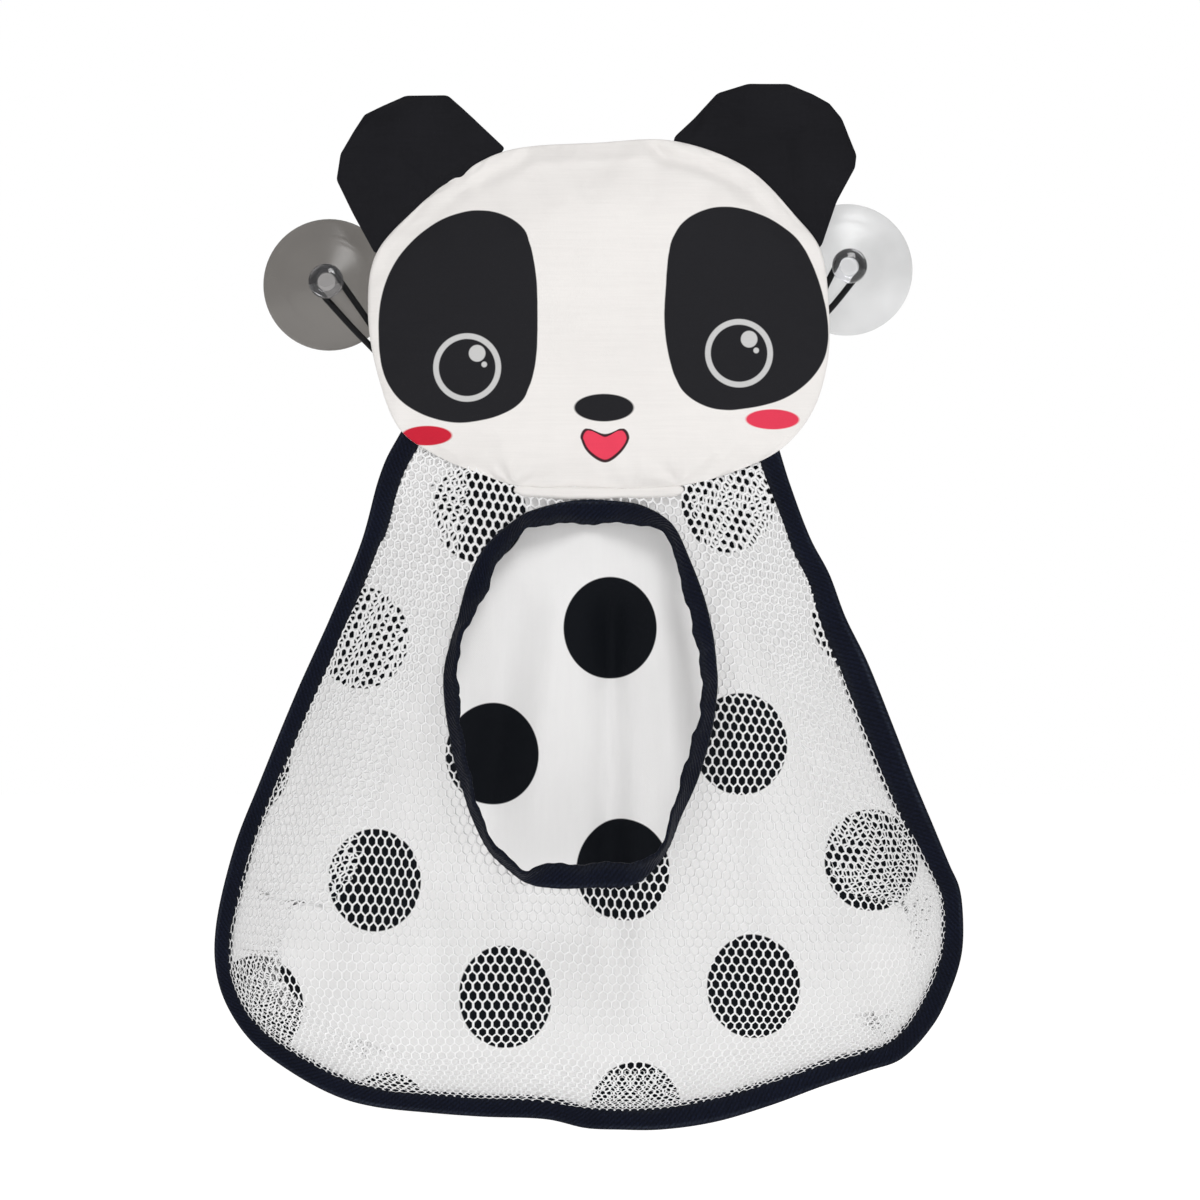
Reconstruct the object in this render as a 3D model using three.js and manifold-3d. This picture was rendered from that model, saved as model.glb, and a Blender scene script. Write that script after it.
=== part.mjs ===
// Bath toy organizer: a padded panda head over a net bag, hung on a wall by two suction cups.
// Millimetres, +Z up. The wall is the plane Y = 0 and the front of the object looks along -Y.
import * as THREE from 'three';
import { mergeVertices } from 'three/addons/utils/BufferGeometryUtils.js';
import Module from 'manifold-3d';

const wasm = await Module();
wasm.setup();

// Clearances
const seamGap = 0.3; // between pieces sewn edge to edge
const layerGap = 0.3; // between layers that lie in a cover or a tape

// Head
const headWidth = 174;
const headHeight = 131;
const headCentreX = 0.5;
const headCentreZ = -15; // from the level of the cups
const headFrontCrown = 10;
const headBackCrown = 4.5;
const clothWall = 1.2;
const hemHeight = 3;
const hemDepth = 4;

// Ears
const earReach = 43.5; // from the base chord to the furthest edge
const earFrontCrown = 5;
const earBackCrown = 3.5;

// Bag
const bagWidth = 281;
const bagDrop = 237; // from the hem to the lowest edge
const bagCentreX = -2.5;
const bagBehindHead = 2; // from the head's seam plane back to the bag's
const cornerDrop = 3; // from the head's edge to the upper corners of the tape
const tapeWidth = 9;
const tapeWall = 1;
const panelThickness = 1;
const netThickness = 1.4;
const netTopDepth = 1.5; // how far the net stands forward at the hem
const netDepth = 36; // and low down, where the bag is full
const netDepthDrop = 165; // from the hem to the level of full depth
const netTurnWidth = 32; // width of the stretch that turns back to the tape

// Net gaps, drawn larger than the real ones
const meshPitch = 15;
const meshRow = 11.5;
const meshStrand = 3;
const meshMargin = 3; // whole net left beside a tape

// Hand opening
const openingWidth = 90;
const openingHeight = 127;
const openingCentreX = -6;
const openingTopMargin = 2; // net left above its tape

// Suction cups
const cupRadius = 25;
const lipWidth = 3.5; // flat ring that lies on the wall
const lipThickness = 0.9;
const cupHeight = 9.4; // wall to the foot of the neck
const cupHollow = 4.4;
const neckRadius = 3.2;
const knobRadius = 6.6;
const knobHeight = 6;

// Elastic loops
const cordDiameter = 2.4;
const cordClearance = 0.8; // along the neck, on each side of the cord
const headClearance = 1.4; // from the cord forward to the head's seam
const rootInset = 7; // from the head's edge to the stitches on the back cloth
const rootSpread = 1.8; // half the distance between the two cord ends
const leftKnobGap = 9; // from the head's edge to the knob
const rightKnobGap = 2.4;
const leftCupZ = -2.5;
const rightCupZ = 3.2;
const leftRootZ = -34;
const rightRootZ = -19;

// Planes that follow from these sizes
const neckLength = cordDiameter + 2 * cordClearance;
const neckY = -(cupHeight + neckLength / 2);
const headSeamY = neckY - cordDiameter / 2 - headClearance;
const bagSeamY = headSeamY + bagBehindHead;

// Outline shapes, as shares of half the width and half the height. The head's runs clockwise as seen
// from the front, in stretches that other pieces are sewn to.
const headStretches = {
  crown: [[-0.006, 0.99]],
  rightEarBase: [[0.324, 1], [0.641, 0.841], [0.856, 0.562], [0.96, 0.379]],
  rightCheek: [[0.998, 0.045], [0.99, -0.285], [0.92, -0.568]],
  rightChin: [[0.792, -0.765], [0.609, -0.886]],
  hem: [[0.366, -0.98], [-0.006, -1], [-0.362, -0.98]],
  leftChin: [[-0.506, -0.913], [-0.698, -0.806], [-0.856, -0.659]],
  leftCheek: [[-0.954, -0.348], [-0.998, 0.015]],
  leftEarBase: [[-0.966, 0.341], [-0.799, 0.598], [-0.616, 0.792], [-0.398, 0.942]],
};

// Free edge of an ear from the crown side to the cheek side: along the base chord, then away from it
const earEdge = [
  [0.92, 0.46], [0.8, 0.71], [0.42, 0.93], [0.02, 1],
  [-0.3, 0.97], [-0.63, 0.85], [-0.79, 0.72], [-0.86, 0.41],
];

// Bag edge from the upper left corner down and round to the right: across, then down from the hem
const bagEdgeShape = [
  [-0.628, 0.099], [-0.791, 0.306], [-0.949, 0.552], [-1, 0.702], [-0.963, 0.806], [-0.791, 0.907],
  [-0.434, 0.975], [0.018, 1], [0.33, 0.987], [0.616, 0.932], [0.831, 0.89], [0.974, 0.776],
  [1, 0.658], [0.869, 0.447], [0.744, 0.26], [0.644, 0.124],
];

// Inner edge of the hand opening, clockwise from the top
const openingShape = [
  [0.08, 1], [0.622, 0.975], [0.896, 0.494], [0.996, 0.128], [0.909, -0.268], [0.622, -0.876],
  [0.133, -0.962], [-0.467, -1], [-0.833, -0.646], [-1, 0.117], [-0.791, 0.589], [-0.444, 0.975],
];

// Profile of a cup: the hollow from the middle out, the dome from the lip to the neck, and the knob
const hollowShape = [[0, 1], [0.4, 0.86], [0.75, 0.45]];
const domeShape = [[0.76, 0.27], [0.42, 0.6], [0.18, 0.84]];
const knobShape = [[0.9, 0.13], [1, 0.45], [0.9, 0.76], [0.52, 0.95]];

// Half of an elastic loop: along the strand, from the stitches' spread to the neck's, from back to neck plane
const strandShape = [[0, 0, 0], [0.2, 0.05, 0], [0.5, 0.45, 0.6]];
const neckTurnDegrees = [115, 75, 38, 0, -38, -75, -115];

// Fineness
const headSteps = 2; // points per control point of an outline
const earSteps = 2;
const bagSteps = 3;
const openingSteps = 3;
const headRings = 5; // rings from the middle of a dome to its edge
const earRings = 3;
const cupSides = 28;
const cordSides = 8;
const cordSteps = 34;

// Shape of a padded dome and of the net's turn to the tape
const domeInner = 2.4;
const domeOuter = 0.6;
const turnPower = 1.8;
const mitreLimit = 2.5;

// Plane geometry: points are Vector2 with x across and y up

const plane = (x, z) => new THREE.Vector2(x, z);

function smooth(points, steps, closed) {
  const route = points.map((point) => new THREE.Vector3(point.x, point.y, 0));
  const curve = new THREE.CatmullRomCurve3(route, closed, 'centripetal');
  const spans = closed ? points.length : points.length - 1;
  const samples = curve.getPoints(spans * steps).map((point) => plane(point.x, point.y));
  return closed ? samples.slice(0, -1) : samples;
}

// Unit normals to the left of the path, lengthened at corners so that an offset keeps its distance
function leftNormals(points, closed) {
  const last = points.length - 1;
  return points.map((point, i) => {
    const before = points[closed || i > 0 ? (i + last) % (last + 1) : 0];
    const after = points[closed || i < last ? (i + 1) % (last + 1) : last];
    const arriving = point.clone().sub(before).normalize();
    const leaving = after.clone().sub(point).normalize();
    const along = arriving.clone().add(leaving).normalize();
    const turn = Math.max(along.dot(leaving.lengthSq() > 0 ? leaving : arriving), 1 / mitreLimit);
    return plane(-along.y, along.x).divideScalar(turn);
  });
}

function offset(points, distance, closed = true) {
  const normals = leftNormals(points, closed);
  return points.map((point, i) => point.clone().addScaledVector(normals[i], distance));
}

function distanceToPath(path, point, closed) {
  const spans = closed ? path.length : path.length - 1;
  let nearest = Infinity;
  for (let i = 0; i < spans; i += 1) {
    const start = path[i];
    const span = path[(i + 1) % path.length].clone().sub(start);
    const reach = point.clone().sub(start);
    const share = THREE.MathUtils.clamp(reach.dot(span) / span.lengthSq(), 0, 1);
    nearest = Math.min(nearest, reach.addScaledVector(span, -share).length());
  }
  return nearest;
}

function isInside(outline, point) {
  let inside = false;
  outline.forEach((end, i) => {
    const start = outline[(i + outline.length - 1) % outline.length];
    const crosses = (end.y > point.y) !== (start.y > point.y);
    const crossing = end.x + ((point.y - end.y) * (start.x - end.x)) / (start.y - end.y);
    if (crosses && point.x < crossing) inside = !inside;
  });
  return inside;
}

// Furthest place of an outline to one side at a level; side is -1 on the left and 1 on the right
function sideX(outline, z, side) {
  const crossings = outline.flatMap((start, i) => {
    const end = outline[(i + 1) % outline.length];
    const share = (z - start.y) / (end.y - start.y);
    return share >= 0 && share <= 1 ? [start.clone().lerp(end, share).x] : [];
  });
  return side * Math.max(...crossings.map((x) => side * x));
}

function middleOf(outline) {
  const sum = outline.reduce((total, point) => total.add(point), plane(0, 0));
  return sum.divideScalar(outline.length);
}

// How far out a point lies between the middle of an outline (0) and its edge (1)
function shareOut(outline, middle, point) {
  const reach = point.clone().sub(middle);
  const shares = outline.map((start, i) => {
    const span = outline[(i + 1) % outline.length].clone().sub(start);
    const toStart = start.clone().sub(middle);
    const cross = reach.cross(span);
    const along = toStart.cross(reach) / cross;
    const out = toStart.cross(span) / cross;
    return out > 0 && along >= 0 && along <= 1 ? 1 / out : 0;
  });
  return Math.max(...shares);
}

// Solid geometry

function bodyFrom(vertices, triangles) {
  const geometry = new THREE.BufferGeometry();
  geometry.setAttribute('position', new THREE.Float32BufferAttribute(vertices.flat(), 3));
  geometry.setIndex(triangles.flat());
  return geometry;
}

// Turns the faces outwards: the signed volume of a closed body is then positive
function facingOut(vertices, triangles) {
  const corner = (i) => new THREE.Vector3(...vertices[i]);
  const volume = triangles.reduce(
    (sum, [a, b, c]) => sum + corner(a).dot(corner(b).cross(corner(c))),
    0,
  );
  return bodyFrom(vertices, volume > 0 ? triangles : triangles.map(([a, b, c]) => [a, c, b]));
}

// A sheet of even thickness from triangles in the plane, with walls on every free edge
function sheet(points, triangles, thickness, middleY) {
  const count = points.length;
  const side = (shift) => points.map(({ x, y }) => [x, middleY(x, y) + shift, y]);
  const vertices = [...side(-thickness / 2), ...side(thickness / 2)];
  const area = ([a, b, c]) => points[b].clone().sub(points[a]).cross(points[c].clone().sub(points[a]));
  const front = triangles.map(([a, b, c]) => (area([a, b, c]) > 0 ? [a, b, c] : [a, c, b]));
  const edges = new Map();
  front.forEach(([a, b, c]) => [[a, b], [b, c], [c, a]].forEach((edge) => edges.set(edge.join(), edge)));
  const walls = [];
  edges.forEach(([a, b]) => {
    if (edges.has([b, a].join())) return;
    walls.push([b, a, a + count], [b, a + count, b + count]);
  });
  const back = front.map(([a, b, c]) => [a + count, c + count, b + count]);
  return bodyFrom(vertices, [...front, ...back, ...walls]);
}

// Rings of points joined one to the next, with a point at each end
function ringStack(start, rings, end) {
  const count = rings[0].length;
  const vertices = [start, ...rings.flat(), end];
  const triangles = [];
  for (let i = 0; i < count; i += 1) {
    const next = (i + 1) % count;
    triangles.push([0, 1 + next, 1 + i]);
    for (let ring = 1; ring < rings.length; ring += 1) {
      const inner = 1 + (ring - 1) * count;
      const outer = 1 + ring * count;
      triangles.push([inner + i, inner + next, outer + next], [inner + i, outer + next, outer + i]);
    }
    const final = 1 + (rings.length - 1) * count;
    triangles.push([vertices.length - 1, final + i, final + next]);
  }
  return facingOut(vertices, triangles);
}

// A section carried along a path in the plane: across is to the left of the path
function sweep(path, section, closed, middleY) {
  const normals = leftNormals(path, closed);
  const size = section.length;
  const vertices = path.flatMap((point, i) => section.map(([across, depth]) => {
    const place = point.clone().addScaledVector(normals[i], across);
    return [place.x, middleY(place.x, place.y) + depth, place.y];
  }));
  const triangles = [];
  const spans = closed ? path.length : path.length - 1;
  for (let i = 0; i < spans; i += 1) {
    const here = i * size;
    const there = ((i + 1) % path.length) * size;
    for (let k = 0; k < size; k += 1) {
      const next = (k + 1) % size;
      triangles.push([here + k, there + k, there + next], [here + k, there + next, here + next]);
    }
  }
  if (!closed) {
    const corners = section.map(([across, depth]) => plane(across, depth));
    const cap = THREE.ShapeUtils.triangulateShape(corners, []);
    const areaIsPositive = THREE.ShapeUtils.area(corners) > 0;
    const final = (path.length - 1) * size;
    cap.forEach(([a, b, c]) => {
      const turn = THREE.ShapeUtils.area([corners[a], corners[b], corners[c]]) > 0 === areaIsPositive;
      const [second, third] = turn ? [b, c] : [c, b];
      triangles.push([a, second, third], [final + a, final + third, final + second]);
    });
  }
  return facingOut(vertices, triangles);
}

function toSolid(geometry) {
  const bare = new THREE.BufferGeometry();
  bare.setAttribute('position', geometry.getAttribute('position').clone());
  bare.setIndex(geometry.getIndex());
  const merged = mergeVertices(bare);
  const vertProperties = Float32Array.from(merged.getAttribute('position').array);
  const triVerts = Uint32Array.from(merged.getIndex().array);
  return new wasm.Manifold(new wasm.Mesh({ numProp: 3, vertProperties, triVerts }));
}

function toGeometry(solid) {
  const mesh = solid.getMesh();
  const geometry = new THREE.BufferGeometry();
  geometry.setAttribute('position', new THREE.BufferAttribute(Float32Array.from(mesh.vertProperties), 3));
  geometry.setIndex(new THREE.BufferAttribute(Uint32Array.from(mesh.triVerts), 1));
  return geometry;
}

// Padded covers

const domeRise = (share) => (1 - share ** domeInner) ** domeOuter;

// Rings of a dome from its middle to its edge; the crown is signed, negative to the front
function domeRings(outline, middle, seamY, crown, count) {
  return Array.from({ length: count }, (_, i) => {
    const share = Math.sin(((i + 1) / count) * (Math.PI / 2));
    const y = seamY + crown * domeRise(Math.min(share, 1));
    return outline.map((point) => {
      const place = middle.clone().lerp(point, share);
      return [place.x, y, place.y];
    });
  });
}

// One cloth half of a padded cover: an outer dome, an inner dome and a rim in the seam
function clothHalf(outline, seamY, crown, count) {
  const middle = middleOf(outline);
  const towards = Math.sign(crown);
  const rimY = seamY + (towards * seamGap) / 2;
  const inner = offset(outline, -clothWall);
  const innerCrown = crown - towards * clothWall;
  const outerRings = domeRings(outline, middle, rimY, crown, count);
  const innerRings = domeRings(inner, middle, rimY, innerCrown, count).reverse();
  return ringStack(
    [middle.x, rimY + crown, middle.y],
    [...outerRings, ...innerRings],
    [middle.x, rimY + innerCrown, middle.y],
  );
}

// The foam that fills a cover, clear of the cloth all round
function foamCore(outline, seamY, frontCrown, backCrown, count) {
  const middle = middleOf(outline);
  const inset = offset(outline, -clothWall - layerGap);
  const front = -(frontCrown - clothWall - layerGap);
  const back = backCrown - clothWall - layerGap;
  const frontRings = domeRings(inset, middle, seamY, front, count);
  const backRings = domeRings(inset, middle, seamY, back, count).slice(0, -1).reverse();
  return ringStack(
    [middle.x, seamY + front, middle.y],
    [...frontRings, ...backRings],
    [middle.x, seamY + back, middle.y],
  );
}

// Head outline and the stretches of it that carry other pieces

const onHead = ([across, up]) => plane(
  headCentreX + (across * headWidth) / 2,
  headCentreZ + (up * headHeight) / 2,
);
const stretchNames = Object.keys(headStretches);
const headControls = stretchNames.flatMap((name) => headStretches[name].map(onHead));
const headOutline = smooth(headControls, headSteps, true);
const headMiddle = middleOf(headOutline);

// Points of the head's edge from the first stretch named to the last, moved outwards
function headEdge(first, last, outwards) {
  const moved = offset(headOutline, outwards);
  const firstIndex = stretchNames.indexOf(first);
  const lastIndex = stretchNames.indexOf(last);
  const lengths = stretchNames.map((name) => headStretches[name].length);
  const sum = (values) => values.reduce((total, value) => total + value, 0);
  const start = sum(lengths.slice(0, firstIndex)) * headSteps;
  const end = (sum(lengths.slice(0, lastIndex + 1)) - 1) * headSteps;
  return moved.slice(start, end + 1);
}

// Ears

function earOutline(baseName, crownFirst) {
  const base = headEdge(baseName, baseName, seamGap);
  const start = base[0];
  const end = base[base.length - 1];
  const chord = end.clone().sub(start);
  const halfChord = chord.length() / 2;
  const along = chord.normalize();
  const away = plane(-along.y, along.x);
  const middle = start.clone().lerp(end, 0.5);
  const crownSign = crownFirst ? -1 : 1;
  const edge = earEdge.map(([share, out]) => middle.clone()
    .addScaledVector(along, crownSign * share * halfChord)
    .addScaledVector(away, out * earReach));
  const ordered = crownFirst ? edge : edge.reverse();
  const free = smooth([start, ...ordered, end], earSteps, false);
  return [...free, ...base.slice(1, -1).reverse()];
}

// Bag outline

const hemBottom = seamGap + hemHeight;
const bagTopZ = headCentreZ - headHeight / 2 - hemBottom - seamGap;
const chinStart = headEdge('rightChin', 'rightChin', cornerDrop)[0];
const chinEnd = headEdge('leftChin', 'leftChin', cornerDrop).pop();
const onBag = ([across, down]) => plane(bagCentreX + (across * bagWidth) / 2, bagTopZ - down * bagDrop);
const bagEdge = smooth([chinEnd, ...bagEdgeShape.map(onBag), chinStart], bagSteps, false);

// Upper edge of the bag, from right to left along the head and under the hem
function topEdge() {
  const besideHead = headEdge('rightChin', 'leftChin', seamGap);
  const underHem = headEdge('rightChin', 'leftChin', hemBottom + seamGap);
  const first = headStretches.rightChin.length * headSteps;
  const last = first + (headStretches.hem.length - 1) * headSteps;
  const step = (row, from, towards) => {
    const away = row[towards].clone().sub(row[from]).setLength(seamGap);
    return row[from].clone().add(away);
  };
  return [
    ...besideHead.slice(1, first),
    step(besideHead, first, first - 1),
    step(underHem, first, first - 1),
    ...underHem.slice(first + 1, last),
    step(underHem, last, last + 1),
    step(besideHead, last, last + 1),
    ...besideHead.slice(last + 1, -1),
  ];
}

const bagTopEdge = topEdge();
const slotDepth = panelThickness + netThickness + 3 * layerGap;
const panelY = bagSeamY + slotDepth / 2 - layerGap - panelThickness / 2;
const netY = bagSeamY - slotDepth / 2 + layerGap + netThickness / 2;
const clothEdge = offset(bagEdge, tapeWall + layerGap, false);
const netMarginLine = offset(bagEdge, tapeWidth + layerGap, false);

// Middle of the net's thickness: flat in the tape, then out to the depth that it has at that level
function netMiddleY(x, z) {
  const drop = THREE.MathUtils.clamp((bagTopZ - z) / netDepthDrop, 0, 1);
  const depth = THREE.MathUtils.lerp(netTopDepth, netDepth, drop);
  const fromTape = distanceToPath(bagEdge, plane(x, z), false) - tapeWidth - layerGap;
  const share = THREE.MathUtils.clamp(fromTape / netTurnWidth, 0, 1);
  return netY - depth * (1 - (1 - share) ** turnPower);
}

// Hand opening: its tape folds round the net's inner edge

const openingCentreZ = bagTopZ - openingTopMargin - tapeWidth - openingHeight / 2;
const onOpening = ([across, up]) => plane(
  openingCentreX + (across * openingWidth) / 2,
  openingCentreZ + (up * openingHeight) / 2,
);
const openingEdge = smooth(openingShape.map(onOpening), openingSteps, true);
const netHole = offset(openingEdge, tapeWall + layerGap);
const openingMarginLine = offset(openingEdge, tapeWidth + layerGap);

// U-shaped section of a folded tape, with its fold on the path
function tapeSection(halfThickness) {
  const innerHalf = halfThickness - tapeWall;
  return [
    [0, -halfThickness], [tapeWidth, -halfThickness], [tapeWidth, -innerHalf], [tapeWall, -innerHalf],
    [tapeWall, innerHalf], [tapeWidth, innerHalf], [tapeWidth, halfThickness], [0, halfThickness],
  ];
}

// Hexagon gaps of the net that lie clear of the tapes
function meshGaps(field) {
  const size = 1 - meshStrand / meshPitch;
  const halfWidth = (size * meshPitch) / 2;
  const third = (size * meshRow) / 3;
  const hexagon = [
    [0, 2 * third], [halfWidth, third], [halfWidth, -third],
    [0, -2 * third], [-halfWidth, -third], [-halfWidth, third],
  ];
  const isClear = (corner) => isInside(field, corner)
    && distanceToPath(field, corner, true) > meshMargin
    && !isInside(openingMarginLine, corner)
    && distanceToPath(openingMarginLine, corner, true) > meshMargin;
  const rows = Math.ceil((bagDrop + headHeight) / meshRow);
  const columns = Math.ceil(bagWidth / meshPitch / 2) + 1;
  const gaps = [];
  for (let row = -rows; row <= rows; row += 1) {
    const stagger = row % 2 === 0 ? 0 : 0.5;
    for (let column = -columns; column <= columns; column += 1) {
      const centre = plane(bagCentreX + (column + stagger) * meshPitch, openingCentreZ + row * meshRow);
      const gap = hexagon.map(([x, z]) => plane(centre.x + x, centre.y + z));
      if (gap.every(isClear)) gaps.push(gap);
    }
  }
  return gaps;
}

// Triangles of a band between two rows of points, given the place of each row in the list
function band(first, second, count, closed) {
  const spans = closed ? count : count - 1;
  return Array.from({ length: spans }, (_, i) => {
    const next = (i + 1) % count;
    return [[first + i, first + next, second + next], [first + i, second + next, second + i]];
  }).flat();
}

// The net: a perforated field, a whole margin in the edge tape and another in the opening's tape
function netSheet() {
  const field = [...netMarginLine, ...bagTopEdge];
  const holes = [openingMarginLine, ...meshGaps(field)];
  const points = [...field, ...holes.flat(), ...clothEdge, ...netHole];
  const holeStart = points.length - netHole.length;
  const edgeStart = holeStart - clothEdge.length;
  const triangles = [
    ...THREE.ShapeUtils.triangulateShape(field.slice(), holes.map((hole) => hole.slice())),
    ...band(0, edgeStart, clothEdge.length, false),
    ...band(field.length, holeStart, netHole.length, true),
  ];
  return sheet(points, triangles, netThickness, netMiddleY);
}

// The panel: a flat sheet that reaches into the tape
function panelSheet() {
  const outline = [...clothEdge, ...bagTopEdge];
  const triangles = THREE.ShapeUtils.triangulateShape(outline.slice(), []);
  return sheet(outline, triangles, panelThickness, () => panelY);
}

// The edge tape ends where the head begins
function edgeTape() {
  const tape = sweep(bagEdge, tapeSection(slotDepth / 2 + tapeWall), false, () => bagSeamY);
  const room = offset(headOutline, seamGap);
  const roomDepth = 4 * slotDepth;
  const block = sheet(room, THREE.ShapeUtils.triangulateShape(room.slice(), []), roomDepth, () => bagSeamY);
  return toGeometry(toSolid(tape).subtract(toSolid(block)));
}

function openingTape() {
  const half = netThickness / 2 + layerGap + tapeWall;
  return sweep(openingEdge, tapeSection(half), true, netMiddleY);
}

function hemStrip() {
  const half = hemDepth / 2;
  const section = [[seamGap, -half], [hemBottom, -half], [hemBottom, half], [seamGap, half]];
  return sweep(headEdge('hem', 'hem', 0), section, false, () => headSeamY);
}

// Suction cup about its own axis, from the knob over the dome and the lip to the hollow
function cupGeometry() {
  const lipInner = cupRadius - lipWidth;
  const neckTop = cupHeight + neckLength;
  const { lerp } = THREE.MathUtils;
  const profile = [
    ...hollowShape.map(([out, up]) => [out * lipInner, up * cupHollow]),
    [lipInner, 0], [cupRadius, 0], [cupRadius, lipThickness],
    ...domeShape.map(([out, up]) => [lerp(neckRadius, cupRadius, out), lerp(lipThickness, cupHeight, up)]),
    [neckRadius, cupHeight], [neckRadius, neckTop],
    ...knobShape.map(([out, up]) => [out * knobRadius, neckTop + up * knobHeight]),
    [0, neckTop + knobHeight],
  ];
  const turned = new THREE.LatheGeometry(profile.reverse().map(([r, height]) => plane(r, -height)), cupSides);
  turned.deleteAttribute('normal');
  turned.deleteAttribute('uv');
  return mergeVertices(turned);
}

// Elastic loop from its stitches on the head's back, round the neck of the cup and back again
function loopGeometry(root, knob) {
  const radius = cordDiameter / 2;
  const along = knob.clone().sub(root).normalize();
  const across = plane(-along.y, along.x);
  const length = knob.distanceTo(root);
  const bend = neckRadius + seamGap + radius;
  const rimY = headSeamY + seamGap / 2;
  const rootY = rimY + headBackCrown * domeRise(shareOut(headOutline, headMiddle, root)) + seamGap + radius;
  const { lerp, degToRad } = THREE.MathUtils;
  const strand = (side) => strandShape.map(([out, spread, forward]) => [
    out * length, side * lerp(rootSpread, bend, spread), lerp(rootY, neckY, forward),
  ]);
  const turn = neckTurnDegrees.map(degToRad).map((angle) => [
    length + bend * Math.cos(angle), bend * Math.sin(angle), neckY,
  ]);
  const route = [...strand(1), ...turn, ...strand(-1).reverse()].map(([out, aside, y]) => {
    const place = root.clone().addScaledVector(along, out).addScaledVector(across, aside);
    return new THREE.Vector3(place.x, y, place.y);
  });
  const section = new THREE.Shape(Array.from({ length: cordSides }, (_, i) => {
    const angle = (i / cordSides) * 2 * Math.PI;
    return plane(radius * Math.cos(angle), radius * Math.sin(angle));
  }));
  const extrudePath = new THREE.CatmullRomCurve3(route, false, 'centripetal');
  return new THREE.ExtrudeGeometry(section, { steps: cordSteps, extrudePath, bevelEnabled: false });
}

// Where the cups and the loop ends lie beside the head

const cupPlace = (side, z, gap) => plane(sideX(headOutline, z, side) + side * (gap + knobRadius), z);
const rootPlace = (side, z) => plane(sideX(headOutline, z, side) - side * rootInset, z);
const leftCup = cupPlace(-1, leftCupZ, leftKnobGap);
const rightCup = cupPlace(1, rightCupZ, rightKnobGap);
const leftRoot = rootPlace(-1, leftRootZ);
const rightRoot = rootPlace(1, rightRootZ);

// Assembly

const cloth = { color: 0xeeebe8, roughness: 0.85, metalness: 0 };
const darkCloth = { color: 0x1f2028, roughness: 0.85, metalness: 0 };
const tape = { color: 0x141828, roughness: 0.8, metalness: 0 };
const foam = { color: 0xf2efe2, roughness: 0.95, metalness: 0 };
const netThread = { color: 0xf4f4f4, roughness: 0.6, metalness: 0 };
const elastic = { color: 0x101012, roughness: 0.7, metalness: 0 };
const clearVinyl = { color: 0xe4e6e8, roughness: 0.15, metalness: 0 };

function piece(name, geometry, finish) {
  const mesh = new THREE.Mesh(geometry, new THREE.MeshStandardMaterial(finish));
  mesh.name = name;
  return mesh;
}

function group(...pieces) {
  return new THREE.Group().add(...pieces);
}

function ear(side, baseName, crownFirst) {
  const outline = earOutline(baseName, crownFirst);
  return group(
    piece(`${side}_ear_front`, clothHalf(outline, headSeamY, -earFrontCrown, earRings), darkCloth),
    piece(`${side}_ear_back`, clothHalf(outline, headSeamY, earBackCrown, earRings), darkCloth),
    piece(`${side}_ear_foam`, foamCore(outline, headSeamY, earFrontCrown, earBackCrown, earRings), foam),
  );
}

function hanger(side, root, knob) {
  const cup = piece(`${side}_suction_cup`, cupGeometry(), clearVinyl);
  cup.position.set(knob.x, 0, knob.y);
  return group(piece(`${side}_elastic_loop`, loopGeometry(root, knob), elastic), cup);
}

const head = group(
  piece('head_front', clothHalf(headOutline, headSeamY, -headFrontCrown, headRings), cloth),
  piece('head_back', clothHalf(headOutline, headSeamY, headBackCrown, headRings), cloth),
  piece('head_foam', foamCore(headOutline, headSeamY, headFrontCrown, headBackCrown, headRings), foam),
  piece('chin_hem', hemStrip(), cloth),
);

const bag = group(
  piece('back_panel', panelSheet(), cloth),
  piece('front_net', netSheet(), netThread),
  piece('edge_binding', edgeTape(), tape),
  piece('opening_binding', openingTape(), tape),
);

const organizer = group(
  head,
  ear('left', 'leftEarBase', false),
  ear('right', 'rightEarBase', true),
  bag,
  hanger('left', leftRoot, leftCup),
  hanger('right', rightRoot, rightCup),
);

export default organizer;
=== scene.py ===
# Bath toy organizer: a padded panda head over a net bag, hung on a wall by two suction cups.
# The pieces are worked out in millimetres and stored in metres. +Z is up, the wall is the plane Y = 0
# and the front looks along -Y.
import math

import bpy
import numpy as np
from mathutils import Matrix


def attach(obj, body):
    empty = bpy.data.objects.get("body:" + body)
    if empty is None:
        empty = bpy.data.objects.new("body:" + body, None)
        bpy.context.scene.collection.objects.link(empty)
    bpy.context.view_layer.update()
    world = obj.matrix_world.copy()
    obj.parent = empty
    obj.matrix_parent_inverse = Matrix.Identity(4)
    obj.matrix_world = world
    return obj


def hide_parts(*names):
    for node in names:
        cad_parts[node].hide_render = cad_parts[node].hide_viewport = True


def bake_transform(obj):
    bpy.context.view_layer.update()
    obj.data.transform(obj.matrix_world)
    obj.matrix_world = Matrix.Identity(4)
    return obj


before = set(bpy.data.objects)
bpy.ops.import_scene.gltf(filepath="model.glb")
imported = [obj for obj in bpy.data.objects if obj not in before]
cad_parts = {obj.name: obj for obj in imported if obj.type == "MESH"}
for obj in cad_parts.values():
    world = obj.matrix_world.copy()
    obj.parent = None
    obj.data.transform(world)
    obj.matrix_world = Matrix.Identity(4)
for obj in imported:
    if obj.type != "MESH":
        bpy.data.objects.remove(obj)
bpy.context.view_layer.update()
scene = bpy.context.scene
mm = 0.001
print("frame: %d nodes" % len(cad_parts))


# Paths and outlines in the X-Z plane

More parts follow.
